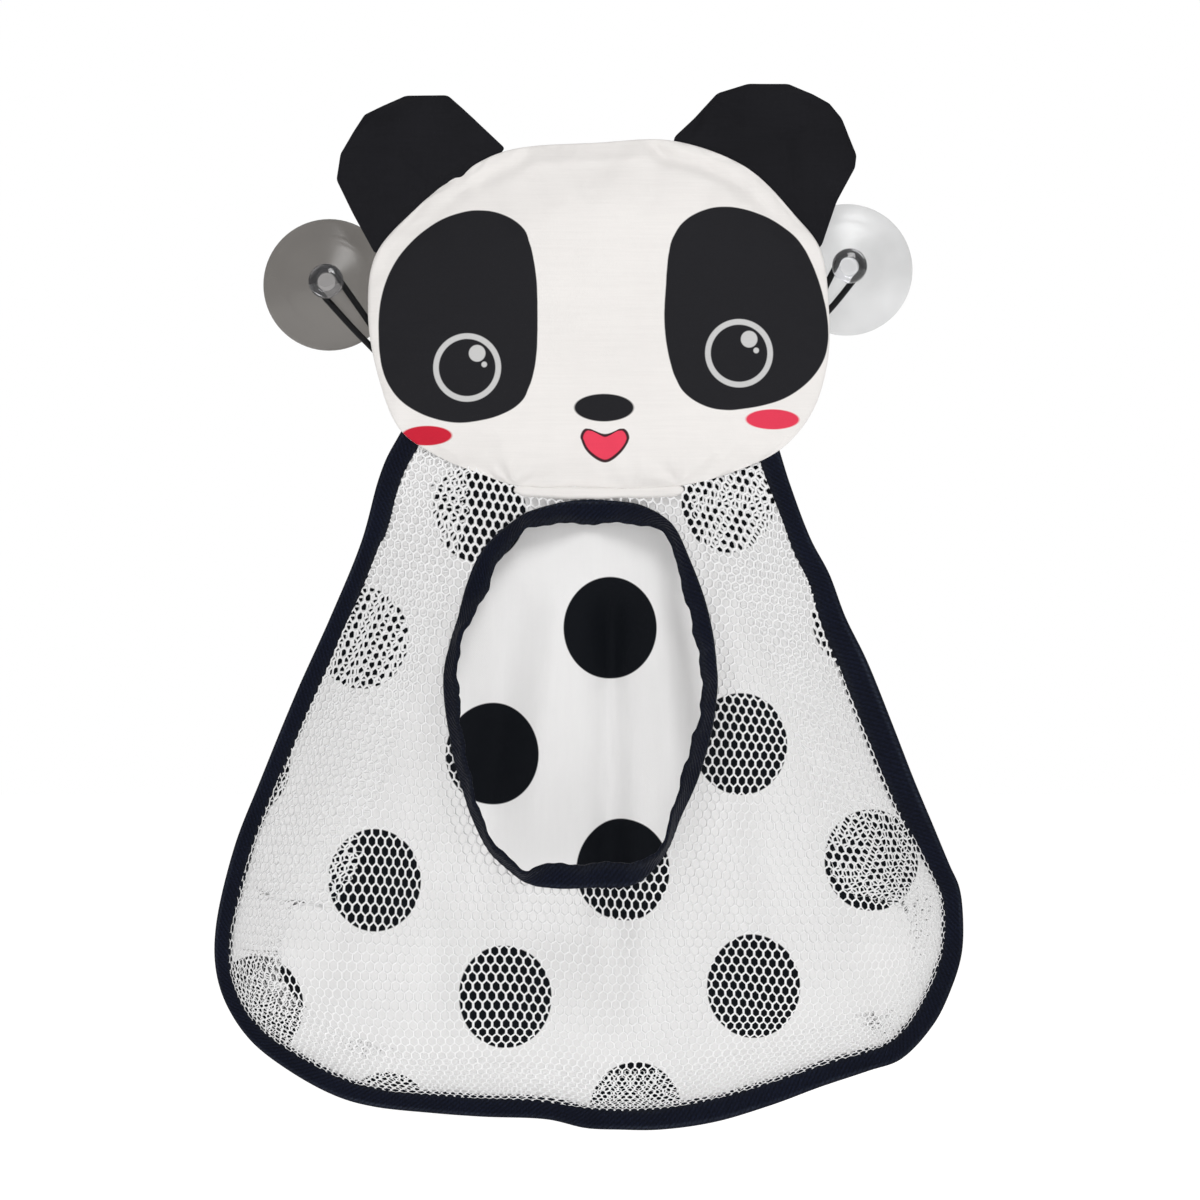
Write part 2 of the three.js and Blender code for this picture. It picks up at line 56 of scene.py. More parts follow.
# Smooth curve through control points, in any dimension: a cubic on every span, mixed from the straight lines
# through four points whose knots are as far apart as the square roots of their distances
def smoothCurve(points, steps, closed):
    p = np.asarray(points, float)
    if closed:
        p = np.vstack([p[-1], p, p[:2]])
    else:
        p = np.vstack([2 * p[0] - p[1], p, 2 * p[-1] - p[-2]])
    knots = np.sqrt(np.maximum(np.linalg.norm(np.diff(p, axis=0), axis=1), 1e-9))
    t0 = np.zeros(len(p) - 3)
    t1 = t0 + knots[:-2]
    t2 = t1 + knots[1:-1]
    t3 = t2 + knots[2:]
    t = t1[:, None] + (t2 - t1)[:, None] * np.arange(steps) / steps

    def between(left, right, low, high):
        weight = ((t - low[:, None]) / (high - low)[:, None])[..., None]
        return left * (1 - weight) + right * weight

    a, b, c, d = (p[k:len(p) - 3 + k, None] for k in range(4))
    ab, bc, cd = between(a, b, t0, t1), between(b, c, t1, t2), between(c, d, t2, t3)
    abc, bcd = between(ab, bc, t0, t2), between(bc, cd, t1, t3)
    curve = between(abc, bcd, t1, t2).reshape(-1, p.shape[1])
    return curve if closed else np.vstack([curve, p[-2]])


# Straight facets between points, with each corner cut twice by a share of its sides
def facetCurve(points, cut):
    p = np.asarray(points, float)
    for _ in range(2):
        step = cut * np.diff(p, axis=0)
        ahead = np.stack([p[:-1] + step, p[1:] - step], 1).reshape(-1, 2)
        p = np.vstack([p[:1], ahead[1:-1], p[-1:]])
    return p


# Distance run along a path at each of its points, and back to the start if it is closed
def runAlong(path, closed):
    loop = np.vstack([path, path[:1]]) if closed else path
    return np.concatenate([[0], np.cumsum(np.linalg.norm(np.diff(loop, axis=0), axis=1))])


# The same path with points at even distances
def evenly(path, count, closed):
    loop = np.vstack([path, path[:1]]) if closed else path
    run = runAlong(path, closed)
    at = np.linspace(0, run[-1], count, endpoint=not closed)
    return np.stack([np.interp(at, run, loop[:, k]) for k in range(loop.shape[1])], axis=1)


# Unit normals to the left of a path: its direction turned a quarter
def leftNormals(path, closed):
    along = np.roll(path, -1, 0) - np.roll(path, 1, 0) if closed else np.gradient(path, axis=0)
    along = along / np.linalg.norm(along, axis=1, keepdims=True)
    return np.stack([-along[:, 1], along[:, 0]], axis=1)


# Distance of places from a path, positive on its left, and the number of the nearest path point
def distanceFrom(path, normals, places):
    parts = np.array_split(places, len(places) // 2000 + 1)
    nearest = np.concatenate([np.argmin(((part[:, None] - path) ** 2).sum(2), axis=1) for part in parts])
    return ((places - path[nearest]) * normals[nearest]).sum(1), nearest


# Which places lie inside an outline: those with an odd number of its edges to their right
def insideOf(outline, places):
    x0, z0 = outline.T
    x1, z1 = np.roll(outline, -1, 0).T
    x, z = places[:, :1], places[:, 1:]
    crosses = (z0 > z) != (z1 > z)
    at = x0 + (z - z0) * (x1 - x0) / np.where(z1 == z0, 1e-12, z1 - z0)
    return (crosses & (x < at)).sum(1) % 2 == 1


# Radius of an outline about a centre for any angles, read between the angles of its points
def radiusAt(outline, centre, angle):
    reach = outline - np.asarray(centre, float)
    return np.interp(angle, np.arctan2(reach[:, 1], reach[:, 0]), np.hypot(*reach.T), period=2 * np.pi)


# Angles of a number of points spaced evenly round a circle
def roundAngles(count):
    return 2 * np.pi * np.arange(count) / count


# Weights of a smooth bell that add up to one
def bellWeights(count):
    return np.hanning(count) / np.hanning(count).sum()


# Sum of sine waves along a run: each has a height, the length that one radian takes, and a phase
def waves(run, *parts):
    return sum(height * np.sin(run / length + phase) for height, length, phase in parts)


# Sum of upright bells that lean: each has a place across at the middle level, a lean, a half width
# and a height
def swells(x, z, middleZ, parts):
    return sum(
        height * np.exp(-((x - atX - lean * (z - middleZ)) / width) ** 2)
        for atX, lean, width, height in parts)


# Gentle unevenness with nothing left to chance: sine waves in five fixed directions, from about -1 to 1
def ripple(x, z, wavelength, seed):
    k = np.arange(5)
    turn = seed + 2.4 * k
    pace = 2 * np.pi / (wavelength * (0.7 + 0.15 * k))
    heights = np.sin(pace * (x[..., None] * np.cos(turn) + z[..., None] * np.sin(turn)) + seed * (k + 1))
    return 1.6 * heights.mean(-1)


# Rises smoothly from 0 at low to 1 at high: three squares less two cubes of the share of the way
def easeBetween(value, low, high):
    t = np.clip((value - low) / (high - low), 0, 1)
    return t * t * (3 - 2 * t)


# Meshes

# Points in millimetres and faces become a smooth mesh object; uv has a pair for each corner of each face
def makePiece(name, points, faces, uv=None):
    mesh = bpy.data.meshes.new(name)
    mesh.from_pydata((np.asarray(points).reshape(-1, 3) * mm).tolist(), [], faces)
    if uv is not None:
        flat = (np.asarray(uv) * mm).astype(np.float32).ravel()
        mesh.uv_layers.new(name="UVMap").data.foreach_set("uv", flat)
    mesh.polygons.foreach_set("use_smooth", np.ones(len(mesh.polygons), bool))
    mesh.update()
    piece = bpy.data.objects.new(name, mesh)
    scene.collection.objects.link(piece)
    return piece


# Quads of a grid, with its rows or columns closed into a ring, and the row and column of each corner
def gridFaces(rows, columns, ringRows, ringColumns):
    i, j = np.meshgrid(
        np.arange(rows if ringRows else rows - 1),
        np.arange(columns if ringColumns else columns - 1), indexing="ij")
    i, j = i.ravel(), j.ravel()
    cornerRows = np.stack([i, i + 1, i + 1, i], 1)
    cornerColumns = np.stack([j, j, j + 1, j + 1], 1)
    return (cornerRows % rows) * columns + cornerColumns % columns, cornerRows, cornerColumns


# Six times the volume inside closed quads: negative where they point inwards
def volumeOf(points, faces):
    a, b, c, d = (points[faces[:, k]] for k in range(4))
    return (np.cross(a, b) * c).sum() + (np.cross(a, c) * d).sum()


# A closed section carried along a path: grid[i, j] is section point j at path point i
def sweptPiece(name, grid, ring, along=None, across=None):
    rows, columns = grid.shape[:2]
    points = grid.reshape(-1, 3)
    faces, cornerRows, cornerColumns = gridFaces(rows, columns, ring, True)
    along = np.arange(rows + 1.0) if along is None else along
    across = np.arange(columns + 1.0) if across is None else across
    uv = np.stack([along[cornerRows], across[cornerColumns]], -1)
    ends = []
    if not ring:
        ends = [np.arange(columns), (rows - 1) * columns + np.arange(columns)[::-1]]
    if volumeOf(points, faces) < 0:
        faces, uv, ends = faces[:, ::-1], uv[:, ::-1], [end[::-1] for end in ends]
    endUv = [
        np.stack([np.full(columns, along[end[0] // columns]), across[end % columns]], -1) for end in ends]
    uv = np.concatenate([uv.reshape(-1, 2), *endUv])
    return makePiece(name, points, faces.tolist() + [end.tolist() for end in ends], uv)


# A flat tape's section with round edges: shares across from 0 to 1 and through from -1 to 1.
# It is a circle drawn out towards a box, by powers of its cosine and sine
def tapeSection(count):
    turn = roundAngles(count)
    squared = np.sign(np.cos(turn)) * np.abs(np.cos(turn)) ** 0.55
    through = np.sign(np.sin(turn)) * np.abs(np.sin(turn)) ** 0.6
    return (1 + squared) / 2, through


# Thickness of a folded tape across its width, as a share: full at both edges, a little less between them
def tapeFullness(across):
    return 0.8 + 0.2 * np.cos(np.pi * across) ** 2


# A tube of a round cord along a path: rings of points square to the path
def tubeGrid(route, radius, sides):
    along = np.gradient(route, axis=0)
    along /= np.linalg.norm(along, axis=1, keepdims=True)
    side = np.cross(along, [0, 1, 0])
    side /= np.linalg.norm(side, axis=1, keepdims=True)
    up = np.cross(side, along)
    turn = roundAngles(sides)
    ring = np.cos(turn)[:, None] * side[:, None] + np.sin(turn)[:, None] * up[:, None]
    return route[:, None] + radius * ring


# A row of sewn stitches: short round threads whose ends dip into the cloth, each made of rings that swell
# and rise between its ends
def stitchRow(name, starts, ends, outwards, radius):
    share = np.array([0, 0.12, 0.35, 0.65, 0.88, 1])
    swell = np.array([0.45, 0.85, 1, 1, 0.85, 0.45])
    dip = np.array([-0.9, -0.1, 0.25, 0.25, -0.1, -0.9])
    sides = 6
    along = ends - starts
    unit = along / np.linalg.norm(along, axis=1, keepdims=True)
    side = np.cross(unit, outwards)
    turn = roundAngles(sides)
    middle = starts[:, None] + along[:, None] * share[:, None] + radius * outwards[:, None] * dip[:, None]
    ring = np.cos(turn)[:, None] * side[:, None] + np.sin(turn)[:, None] * outwards[:, None]
    points = middle[:, :, None] + radius * swell[:, None, None] * ring[:, None]
    faces = gridFaces(len(share), sides, False, True)[0]
    size = len(share) * sides
    flip = volumeOf(points[0].reshape(-1, 3), faces) < 0
    caps = np.array([np.arange(sides), size - sides + np.arange(sides)[::-1]])
    if flip:
        faces, caps = faces[:, ::-1], caps[:, ::-1]
    shift = size * np.arange(len(starts))[:, None, None]
    quads = (faces[None] + shift).reshape(-1, 4).tolist()
    return makePiece(name, points, quads + (caps[None] + shift).reshape(-1, sides).tolist())


# Places of a square grid pressed into an outline: a disc stretched along each ray to the outline's radius.
# The grid's lines are closer together towards the edge
def discPlaces(outline, centre, count):
    evenShare = 0.6
    even = np.linspace(-1, 1, count)
    line = evenShare * even + (1 - evenShare) * np.sin(even * np.pi / 2)
    u, v = np.meshgrid(line, line)
    x, z = u * np.sqrt(1 - v * v / 2), v * np.sqrt(1 - u * u / 2)
    share = np.minimum(np.hypot(x, z), 1)
    angle = np.arctan2(z, x)
    radius = share * radiusAt(outline, centre, angle)
    return centre[0] + radius * np.cos(angle), centre[1] + radius * np.sin(angle), share


# Height of a padded dome from its middle (share 0) to its seam (share 1): one less a power of the share,
# all to a second power
def domeRise(share):
    return (1 - share ** 2.4) ** 0.6


# Two domed grids that share the seam round their edge, the front towards -Y
def cushionPiece(name, outline, look):
    count = look["gridCount"]
    x, z, share = discPlaces(outline, look["centre"], count)
    rise = domeRise(share) * look["startShare"]
    frontY = look["seamY"] - look["frontCrown"] * rise
    backY = look["seamY"] + look["backCrown"] * rise
    onRim = np.ones((count, count), bool)
    onRim[1:-1, 1:-1] = False
    frontNumbers = np.arange(count * count).reshape(count, count)
    backNumbers = frontNumbers.copy()
    backNumbers[~onRim] = count * count + np.arange((count - 2) ** 2)
    front = np.stack([x, frontY, z], -1).reshape(-1, 3)
    back = np.stack([x, backY, z], -1)[~onRim]

    def quads(numbers):
        corners = [numbers[:-1, :-1], numbers[:-1, 1:], numbers[1:, 1:], numbers[1:, :-1]]
        return np.stack([corner.ravel() for corner in corners], 1)

    faces = np.concatenate([quads(frontNumbers), quads(backNumbers)[:, ::-1]])
    piece = makePiece(name, np.concatenate([front, back]), faces.tolist())
    rim = piece.vertex_groups.new(name="seam")
    rim.add(frontNumbers[onRim].tolist(), 1, "REPLACE")
    return piece


# Points of a piece as an array in millimetres
def pointsOf(piece):
    flat = np.empty(3 * len(piece.data.vertices), np.float32)
    piece.data.vertices.foreach_get("co", flat)
    return flat.reshape(-1, 3).astype(float) / mm


# Stores points that are given in millimetres
def setPoints(piece, points):
    piece.data.vertices.foreach_set("co", (points * mm).astype(np.float32).ravel())
    piece.data.update()


fillingLook = {"steps": 20, "quality": 6, "mass": 0.2, "bending": 0.6}


# Blows a sewn cover up like a filled cushion, holds its seam, and caps how far each point moves
def inflate(piece, look):
    rest = pointsOf(piece)
    modifier = piece.modifiers.new("filling", "CLOTH")
    cloth = modifier.settings
    cloth.quality = fillingLook["quality"]
    cloth.mass = fillingLook["mass"]
    cloth.tension_stiffness = look["tension"]
    cloth.compression_stiffness = look["tension"]
    cloth.bending_stiffness = fillingLook["bending"]
    cloth.shrink_min = -look["ease"]
    cloth.use_pressure = True
    cloth.uniform_pressure_force = look["pressure"]
    cloth.vertex_group_mass = "seam"
    cloth.effector_weights.gravity = 0
    for step in range(1, fillingLook["steps"] + 1):
        scene.frame_set(step)
    shaped = piece.evaluated_get(bpy.context.evaluated_depsgraph_get()).data
    flat = np.empty(3 * len(shaped.vertices), np.float32)
    shaped.vertices.foreach_get("co", flat)
    move = (flat.reshape(-1, 3) / mm - rest) * [look["sideways"], 1, look["sideways"]]
    far = np.linalg.norm(move, axis=1, keepdims=True)
    piece.modifiers.remove(modifier)
    scene.frame_set(1)
    setPoints(piece, rest + move * look["moveCap"] / np.maximum(far, look["moveCap"]))
    print("  %s: filled, points moved %.1f mm at most" % (piece.name, far.max()))


# One level of rounding between the points, as averages of their neighbours
def addSmoothing(piece):
    smoothing = piece.modifiers.new("smoothing", "SUBSURF")
    smoothing.levels = 1
    smoothing.render_levels = 1


# Shader helpers

# Links a socket, or sets a plain value
def plug(tree, value, socket):
    if isinstance(value, bpy.types.NodeSocket):
        tree.links.new(value, socket)
    else:
        socket.default_value = value


# A shader node with its options, and its inputs linked or set
def addNode(tree, kind, inputs=None, **options):
    made = tree.nodes.new("ShaderNode" + kind)
    for key, value in options.items():
        setattr(made, key, value)
    for key, value in (inputs or {}).items():
        plug(tree, value, made.inputs[key])
    return made


# One step of arithmetic on sockets or plain values
def calc(tree, operation, *values, clamp=False):
    return addNode(tree, "Math", dict(enumerate(values)), operation=operation, use_clamp=clamp).outputs[0]


# Two colours mixed by a factor, or blended in the named way
def mixColour(tree, factor, first, second, blend="MIX"):
    inputs = {0: factor, 6: first, 7: second}
    return addNode(tree, "Mix", inputs, data_type="RGBA", blend_type=blend).outputs[2]


# A shader node group with named float or vector inputs; gives its tree, its inputs and its outputs
def newGroup(name, inputs, outputs):
    tree = bpy.data.node_groups.new(name, "ShaderNodeTree")
    for label in inputs:
        kind = "NodeSocketVector" if label == "Vector" else "NodeSocketFloat"
        tree.interface.new_socket(label, in_out="INPUT", socket_type=kind)
    for label in outputs:
        tree.interface.new_socket(label, in_out="OUTPUT", socket_type="NodeSocketFloat")
    return tree, tree.nodes.new("NodeGroupInput").outputs, tree.nodes.new("NodeGroupOutput").inputs


# A node group in a material, with its inputs linked or set
def placeGroup(tree, group, **inputs):
    made = addNode(tree, "Group", None, node_tree=group)
    for label, value in inputs.items():
        plug(tree, value, made.inputs[label])
    return made.outputs


# Rounded ridges over a surface: the size of a sine
def ridges(tree, value, pace):
    return calc(tree, "ABSOLUTE", calc(tree, "SINE", calc(tree, "MULTIPLY", value, pace)))


# Plain weave: threads as half sine ridges both ways, taking turns to lie on top
def plainWeaveGroup():
    tree, given, out = newGroup("plainWeave", ["Across", "Up", "Threads"], ["Height"])
    x = calc(tree, "MULTIPLY", given["Across"], given["Threads"])
    z = calc(tree, "MULTIPLY", given["Up"], given["Threads"])
    warp, weft = (ridges(tree, side, math.pi) for side in (x, z))
    cell = calc(tree, "ADD", calc(tree, "FLOOR", x), calc(tree, "FLOOR", z))
    parity = calc(tree, "FLOORED_MODULO", cell, 2.0)
    lower = calc(tree, "MULTIPLY", warp, calc(tree, "SUBTRACT", 1.0, parity))
    tree.links.new(calc(tree, "MULTIPLY_ADD", weft, parity, lower), out["Height"])
    return tree


# Twill: slanting ribs, each cut across by fine threads
def twillWeaveGroup():
    tree, given, out = newGroup("twillWeave", ["Across", "Up", "Threads"], ["Height"])
    x = calc(tree, "MULTIPLY", given["Across"], given["Threads"])
    z = calc(tree, "MULTIPLY", given["Up"], given["Threads"])
    rib = ridges(tree, calc(tree, "ADD", x, z), math.pi / 2)
    thread = ridges(tree, x, math.pi)
    ribShare = 0.7
    fine = calc(tree, "MULTIPLY", thread, 1 - ribShare)
    tree.links.new(calc(tree, "MULTIPLY_ADD", rib, ribShare, fine), out["Height"])
    return tree


# Slow change of tone over a surface: soft noise between a low and a high value
def toneDriftGroup():
    tree, given, out = newGroup("toneDrift", ["Vector", "Scale", "Low", "High"], ["Tone"])
    noise = addNode(tree, "TexNoise", {"Vector": given["Vector"], "Scale": given["Scale"], "Detail": 3.0})
    lowest, highest = 0.3, 0.7   # most of the noise lies between these
    share = addNode(tree, "MapRange", {
        0: noise.outputs[0], 1: lowest, 2: highest, 3: given["Low"], 4: given["High"]})
    tree.links.new(share.outputs[0], out["Tone"])
    return tree


# An oval with a soft edge: 1 inside, 0 outside
def ovalMaskGroup():
    labels = ["Across", "Up", "Middle Across", "Middle Up", "Half Width", "Half Height", "Softness"]
    tree, given, out = newGroup("ovalMask", labels, ["Mask"])
    x = calc(tree, "SUBTRACT", given["Across"], given["Middle Across"])
    z = calc(tree, "SUBTRACT", given["Up"], given["Middle Up"])
    x, z = calc(tree, "DIVIDE", x, given["Half Width"]), calc(tree, "DIVIDE", z, given["Half Height"])
    far = calc(tree, "SQRT", calc(tree, "MULTIPLY_ADD", x, x, calc(tree, "MULTIPLY", z, z)))
    inside = calc(tree, "MULTIPLY", calc(tree, "SUBTRACT", 1.0, far), given["Half Height"])
    share = calc(tree, "DIVIDE", inside, given["Softness"])
    tree.links.new(calc(tree, "ADD", share, 0.5, clamp=True), out["Mask"])
    return tree


plainWeave = plainWeaveGroup()
twillWeave = twillWeaveGroup()
toneDrift = toneDriftGroup()
ovalMask = ovalMaskGroup()
weaveLook = {"streakRelief": 0.6, "threadPolish": 0.12, "sheenRoughness": 0.4}


# Tone from slow noise: how fine it is, and the two values that it lies between
def toneOver(tree, vector, scale, low, high):
    return placeGroup(tree, toneDrift, Vector=vector, Scale=scale, Low=low, High=high)["Tone"]


# A woven material: thread relief with painted shade in its valleys, slow drift of tone and streaks of thicker
# yarn.
# The colour is set afterwards
def fabric(name, look):
    material = bpy.data.materials.new(name)
    material.use_nodes = True
    tree = material.node_tree
    shader = tree.nodes["Principled BSDF"]
    byUv = look.get("byUv", False)
    coordinate = addNode(tree, "TexCoord").outputs["UV" if byUv else "Object"]
    axes = addNode(tree, "SeparateXYZ", {0: coordinate}).outputs
    across, up = axes[0], axes[1 if byUv else 2]
    weave = placeGroup(tree, look["weave"], Across=across, Up=up, Threads=look["threads"])["Height"]
    tone = toneOver(tree, coordinate, look["driftScale"], 1 - look["drift"], 1.0)
    stretched = addNode(tree, "Mapping", {"Vector": coordinate, "Scale": look["streakScale"]}).outputs[0]
    streak = toneOver(tree, stretched, 1.0, 1 - look["streak"], 1.0)
    relief = calc(tree, "MULTIPLY_ADD", streak, weaveLook["streakRelief"], weave)
    bump = addNode(tree, "Bump", {
        "Height": relief, "Strength": look["bump"], "Distance": look["threadHeight"] * mm})
    plug(tree, bump.outputs[0], shader.inputs["Normal"])
    rough = calc(tree, "MULTIPLY_ADD", weave, -weaveLook["threadPolish"], look["roughness"])
    plug(tree, rough, shader.inputs["Roughness"])
    shader.inputs["Sheen Weight"].default_value = look["sheen"]
    shader.inputs["Sheen Roughness"].default_value = weaveLook["sheenRoughness"]
    shader.inputs["Specular IOR Level"].default_value = look["gloss"]
    # Painted shade: the colour is darker in the valleys between the threads
    valleyShade = calc(tree, "MULTIPLY_ADD", weave, look["valleyShade"], 1 - look["valleyShade"])
    shade = calc(tree, "MULTIPLY", calc(tree, "MULTIPLY", tone, streak), valleyShade)
    return {"material": material, "tree": tree, "shader": shader, "across": across, "up": up,
            "depth": axes[1], "coordinate": coordinate, "shade": shade}


# Base colour: the given colour darkened by painted shade in the thread valleys, by drift and by streaks
def dye(cloth, colour):
    shaded = mixColour(cloth["tree"], 1.0, colour, cloth["shade"], "MULTIPLY")
    plug(cloth["tree"], shaded, cloth["shader"].inputs["Base Color"])
    return cloth["material"]


# Mask of a printed shape: an angle about the middle gives the outline's radius through a curve
def outlineMask(cloth, outline, softness, inset=0):
    tree = cloth["tree"]
    curve = smoothCurve(outline, 12, True)
    middle = (curve.min(0) + curve.max(0)) / 2
    turns = np.linspace(0, 1, 33)
    radius = radiusAt(curve, middle, (turns - 0.5) * 2 * np.pi)
    reach = 1.05 * radius.max()   # the curve node holds shares of this, up to 1
    x = calc(tree, "SUBTRACT", cloth["across"], middle[0] * mm)
    z = calc(tree, "SUBTRACT", cloth["up"], middle[1] * mm)
    turn = calc(tree, "MULTIPLY_ADD", calc(tree, "ARCTAN2", z, x), 1 / (2 * math.pi), 0.5)
    shape = addNode(tree, "FloatCurve", {"Value": turn})
    line = shape.mapping.curves[0]
    for share, value in zip(turns[1:-1], radius[1:-1] / reach):
        line.points.new(share, value)
    line.points[0].location = (0, radius[0] / reach)
    line.points[len(turns) - 1].location = (1, radius[-1] / reach)
    shape.mapping.update()
    far = calc(tree, "SQRT", calc(tree, "MULTIPLY_ADD", x, x, calc(tree, "MULTIPLY", z, z)))
    fromMiddle = calc(tree, "MULTIPLY_ADD", far, -1.0, -inset * mm)
    inside = calc(tree, "MULTIPLY_ADD", shape.outputs[0], reach * mm, fromMiddle)
    return calc(tree, "MULTIPLY_ADD", inside, 1 / (softness * mm), 0.5, clamp=True)


# Mask of an oval at a place on the surface; middle, halves and softness are in millimetres
def ovalAt(tree, across, up, middle, halves, softness):
    return placeGroup(tree, ovalMask, **{
        "Across": across, "Up": up, "Middle Across": middle[0] * mm, "Middle Up": middle[1] * mm,
        "Half Width": halves[0] * mm, "Half Height": halves[1] * mm, "Softness": softness * mm})["Mask"]


# The same oval, placed on a cloth
def ovalOn(cloth, middle, halves, softness):
    return ovalAt(cloth["tree"], cloth["across"], cloth["up"], middle, halves, softness)


# Camera, light and floor

view = {"width": 0.45, "middle": (0.0011, -0.1219), "planeY": -0.014, "distance": 1.3, "lens": 104}
light = {"ambient": 0.41, "keyPower": 9.2, "keyPlace": (0.3, -1.1, 0.95), "keySize": 0.55,
         "fillPower": 1, "fillPlace": (-0.9, -1.1, 0.1), "fillSize": 1.2, "floorZ": -0.365,
         "floorHalf": 3.0, "floorGlow": 0.63, "throughVinyl": 0.54}

camera = bpy.data.objects.new("camera", bpy.data.cameras.new("camera"))
camera.data.lens = view["lens"]
camera.data.sensor_width = view["width"] / view["distance"] * view["lens"]
camera.location = (view["middle"][0], view["planeY"] - view["distance"], view["middle"][1])
camera.rotation_euler = (math.pi / 2, 0, 0)
scene.collection.objects.link(camera)
scene.camera = camera
scene.view_settings.view_transform = "Standard"


# Square lamp that looks at the middle of the view: its lean is the angle from straight down
def areaLight(name, power, place, size):
    lamp = bpy.data.lights.new(name, "AREA")
    lamp.energy = power
    lamp.size = size
    lampObject = bpy.data.objects.new(name, lamp)
    lampObject.location = place
    towards = np.array([0, 0, view["middle"][1]]) - np.array(place)
    lean = math.acos(-towards[2] / np.linalg.norm(towards))
    lampObject.rotation_euler = (lean, 0, math.atan2(towards[1], towards[0]) - math.pi / 2)
    scene.collection.objects.link(lampObject)


areaLight("keyLight", light["keyPower"], light["keyPlace"], light["keySize"])
areaLight("fillLight", light["fillPower"], light["fillPlace"], light["fillSize"])


# Even surroundings: white where they are seen, less so through clear vinyl, softer where they light
# the object
def whiteSurroundings():
    world = bpy.data.worlds.new("surroundings")
    scene.world = world
    world.use_nodes = True
    tree = world.node_tree
    tree.nodes.clear()
    soft = addNode(tree, "Background", {0: (1, 0.99, 0.98, 1), 1: light["ambient"]}).outputs[0]
    seen = addNode(tree, "Background", {0: (1, 1, 1, 1), 1: 1.0}).outputs[0]
    path = addNode(tree, "LightPath").outputs
    share = calc(
        tree, "MULTIPLY_ADD", path["Is Transmission Ray"], light["throughVinyl"], path["Is Camera Ray"],
        clamp=True)
    mixed = addNode(tree, "MixShader", {0: share, 1: soft, 2: seen}).outputs[0]
    addNode(tree, "OutputWorld", {0: mixed})


# Pale square floor below the bag, with a little light of its own
def paleFloor():
    half = light["floorHalf"]
    corners = np.array([[-half, -half], [half, -half], [half, half], [-half, half]]) / mm
    floor = makePiece("floor", np.c_[corners, np.full(4, light["floorZ"] / mm)], [[0, 1, 2, 3]])
    material = bpy.data.materials.new("floorPaint")
    material.use_nodes = True
    shader = material.node_tree.nodes["Principled BSDF"]
    shader.inputs["Base Color"].default_value = (0.96, 0.96, 0.96, 1)
    shader.inputs["Roughness"].default_value = 0.9
    shader.inputs["Emission Color"].default_value = (1, 1, 1, 1)
    shader.inputs["Emission Strength"].default_value = light["floorGlow"]
    floor.data.materials.append(material)


whiteSurroundings()
paleFloor()
print("camera, light and floor")


# Head outline, clockwise from the crown; the stretches are counted in control points
headLook = {
    "outline": [
        (0, 49.9), (28.7, 50.5), (56.3, 40.1), (75, 21.8), (84, 9.8), (87.3, -12), (86.6, -33.7),
        (80.5, -52.2), (69.4, -65.1), (53.5, -73), (32.3, -79.2), (0, -80.5), (-31, -79.2), (-43.5, -74.8),
        (-60.2, -67.8), (-74, -58.2), (-82.5, -37.8), (-86.3, -14), (-83.5, 7.3), (-69, 24.2),
        (-53.1, 36.9), (-34.1, 46.7)],
    "steps": 20, "rightEar": (1, 4), "chin": (8, 15), "hem": (10, 12), "leftEar": (18, 21),
    "centre": (0.5, -15), "seamY": -14, "frontCrown": 10, "backCrown": 4.5, "gridCount": 89,
    "startShare": 0.86, "pressure": 5, "tension": 12, "ease": 0.01, "moveCap": 2.6, "sideways": 0.5,
}
headOutline = smoothCurve(headLook["outline"], headLook["steps"], True)
headNormals = leftNormals(headOutline, True)


# Part of the head's edge between two control points, moved outwards
def headEdge(stretch, outwards):
    first, last = (number * headLook["steps"] for number in stretch)
    return (headOutline + outwards * headNormals)[first:last + 1]


# Elastic loops: from the stitches on the head's back, round the neck of the cup and back again
loopLook = {
    "diameter": 2.4, "neckY": -11.4, "bend": 4.7, "rootSpread": 1.8, "offCloth": 0.4, "sides": 12,
    "count": 96,
    "strand": [(0, 0, 0), (0.2, 0.05, 0), (0.5, 0.45, 0.6)], "turn": (115, 75, 38, 0, -38, -75, -115),
    "left": {"root": (-76.36, -34), "knob": (-101.52, -2.5), "length": 0.096},
    "right": {"root": (80.49, -19), "knob": (94.56, 3.2), "length": 0.068},
}


# Line of a loop from its root to the knob: where it starts, its direction, the way aside and its length
def loopLine(side):
    root, knob = (np.array(loopLook[side][end], float) for end in ("root", "knob"))
    length = np.linalg.norm(knob - root)
    along = (knob - root) / length
    return root, along, np.array([-along[1], along[0]]), length


# Route of a loop: along that line, aside from it, and from the back cloth to the neck's level
def loopRoute(side):
    root, along, acrossLine, length = loopLine(side)
    centre = np.array(headLook["centre"], float)
    reach = root - centre
    share = np.hypot(*reach) / radiusAt(headOutline, centre, np.arctan2(reach[1], reach[0]))
    clothY = headLook["seamY"] + headLook["backCrown"] * domeRise(share)
    rootY = clothY + loopLook["offCloth"] + loopLook["diameter"] / 2
    strand = np.array(loopLook["strand"])
    out = strand[:, 0] * length
    aside = loopLook["rootSpread"] + strand[:, 1] * (loopLook["bend"] - loopLook["rootSpread"])
    y = rootY + strand[:, 2] * (loopLook["neckY"] - rootY)
    turn = np.radians(loopLook["turn"])
    bend = np.c_[length + loopLook["bend"] * np.cos(turn), loopLook["bend"] * np.sin(turn),
                 np.full(len(turn), loopLook["neckY"])]
    local = np.vstack([np.c_[out, aside, y], bend, np.c_[out, -aside, y][::-1]])
    places = root + local[:, :1] * along + local[:, 1:2] * acrossLine
    return smoothCurve(np.c_[places[:, 0], local[:, 2], places[:, 1]], 8, False)


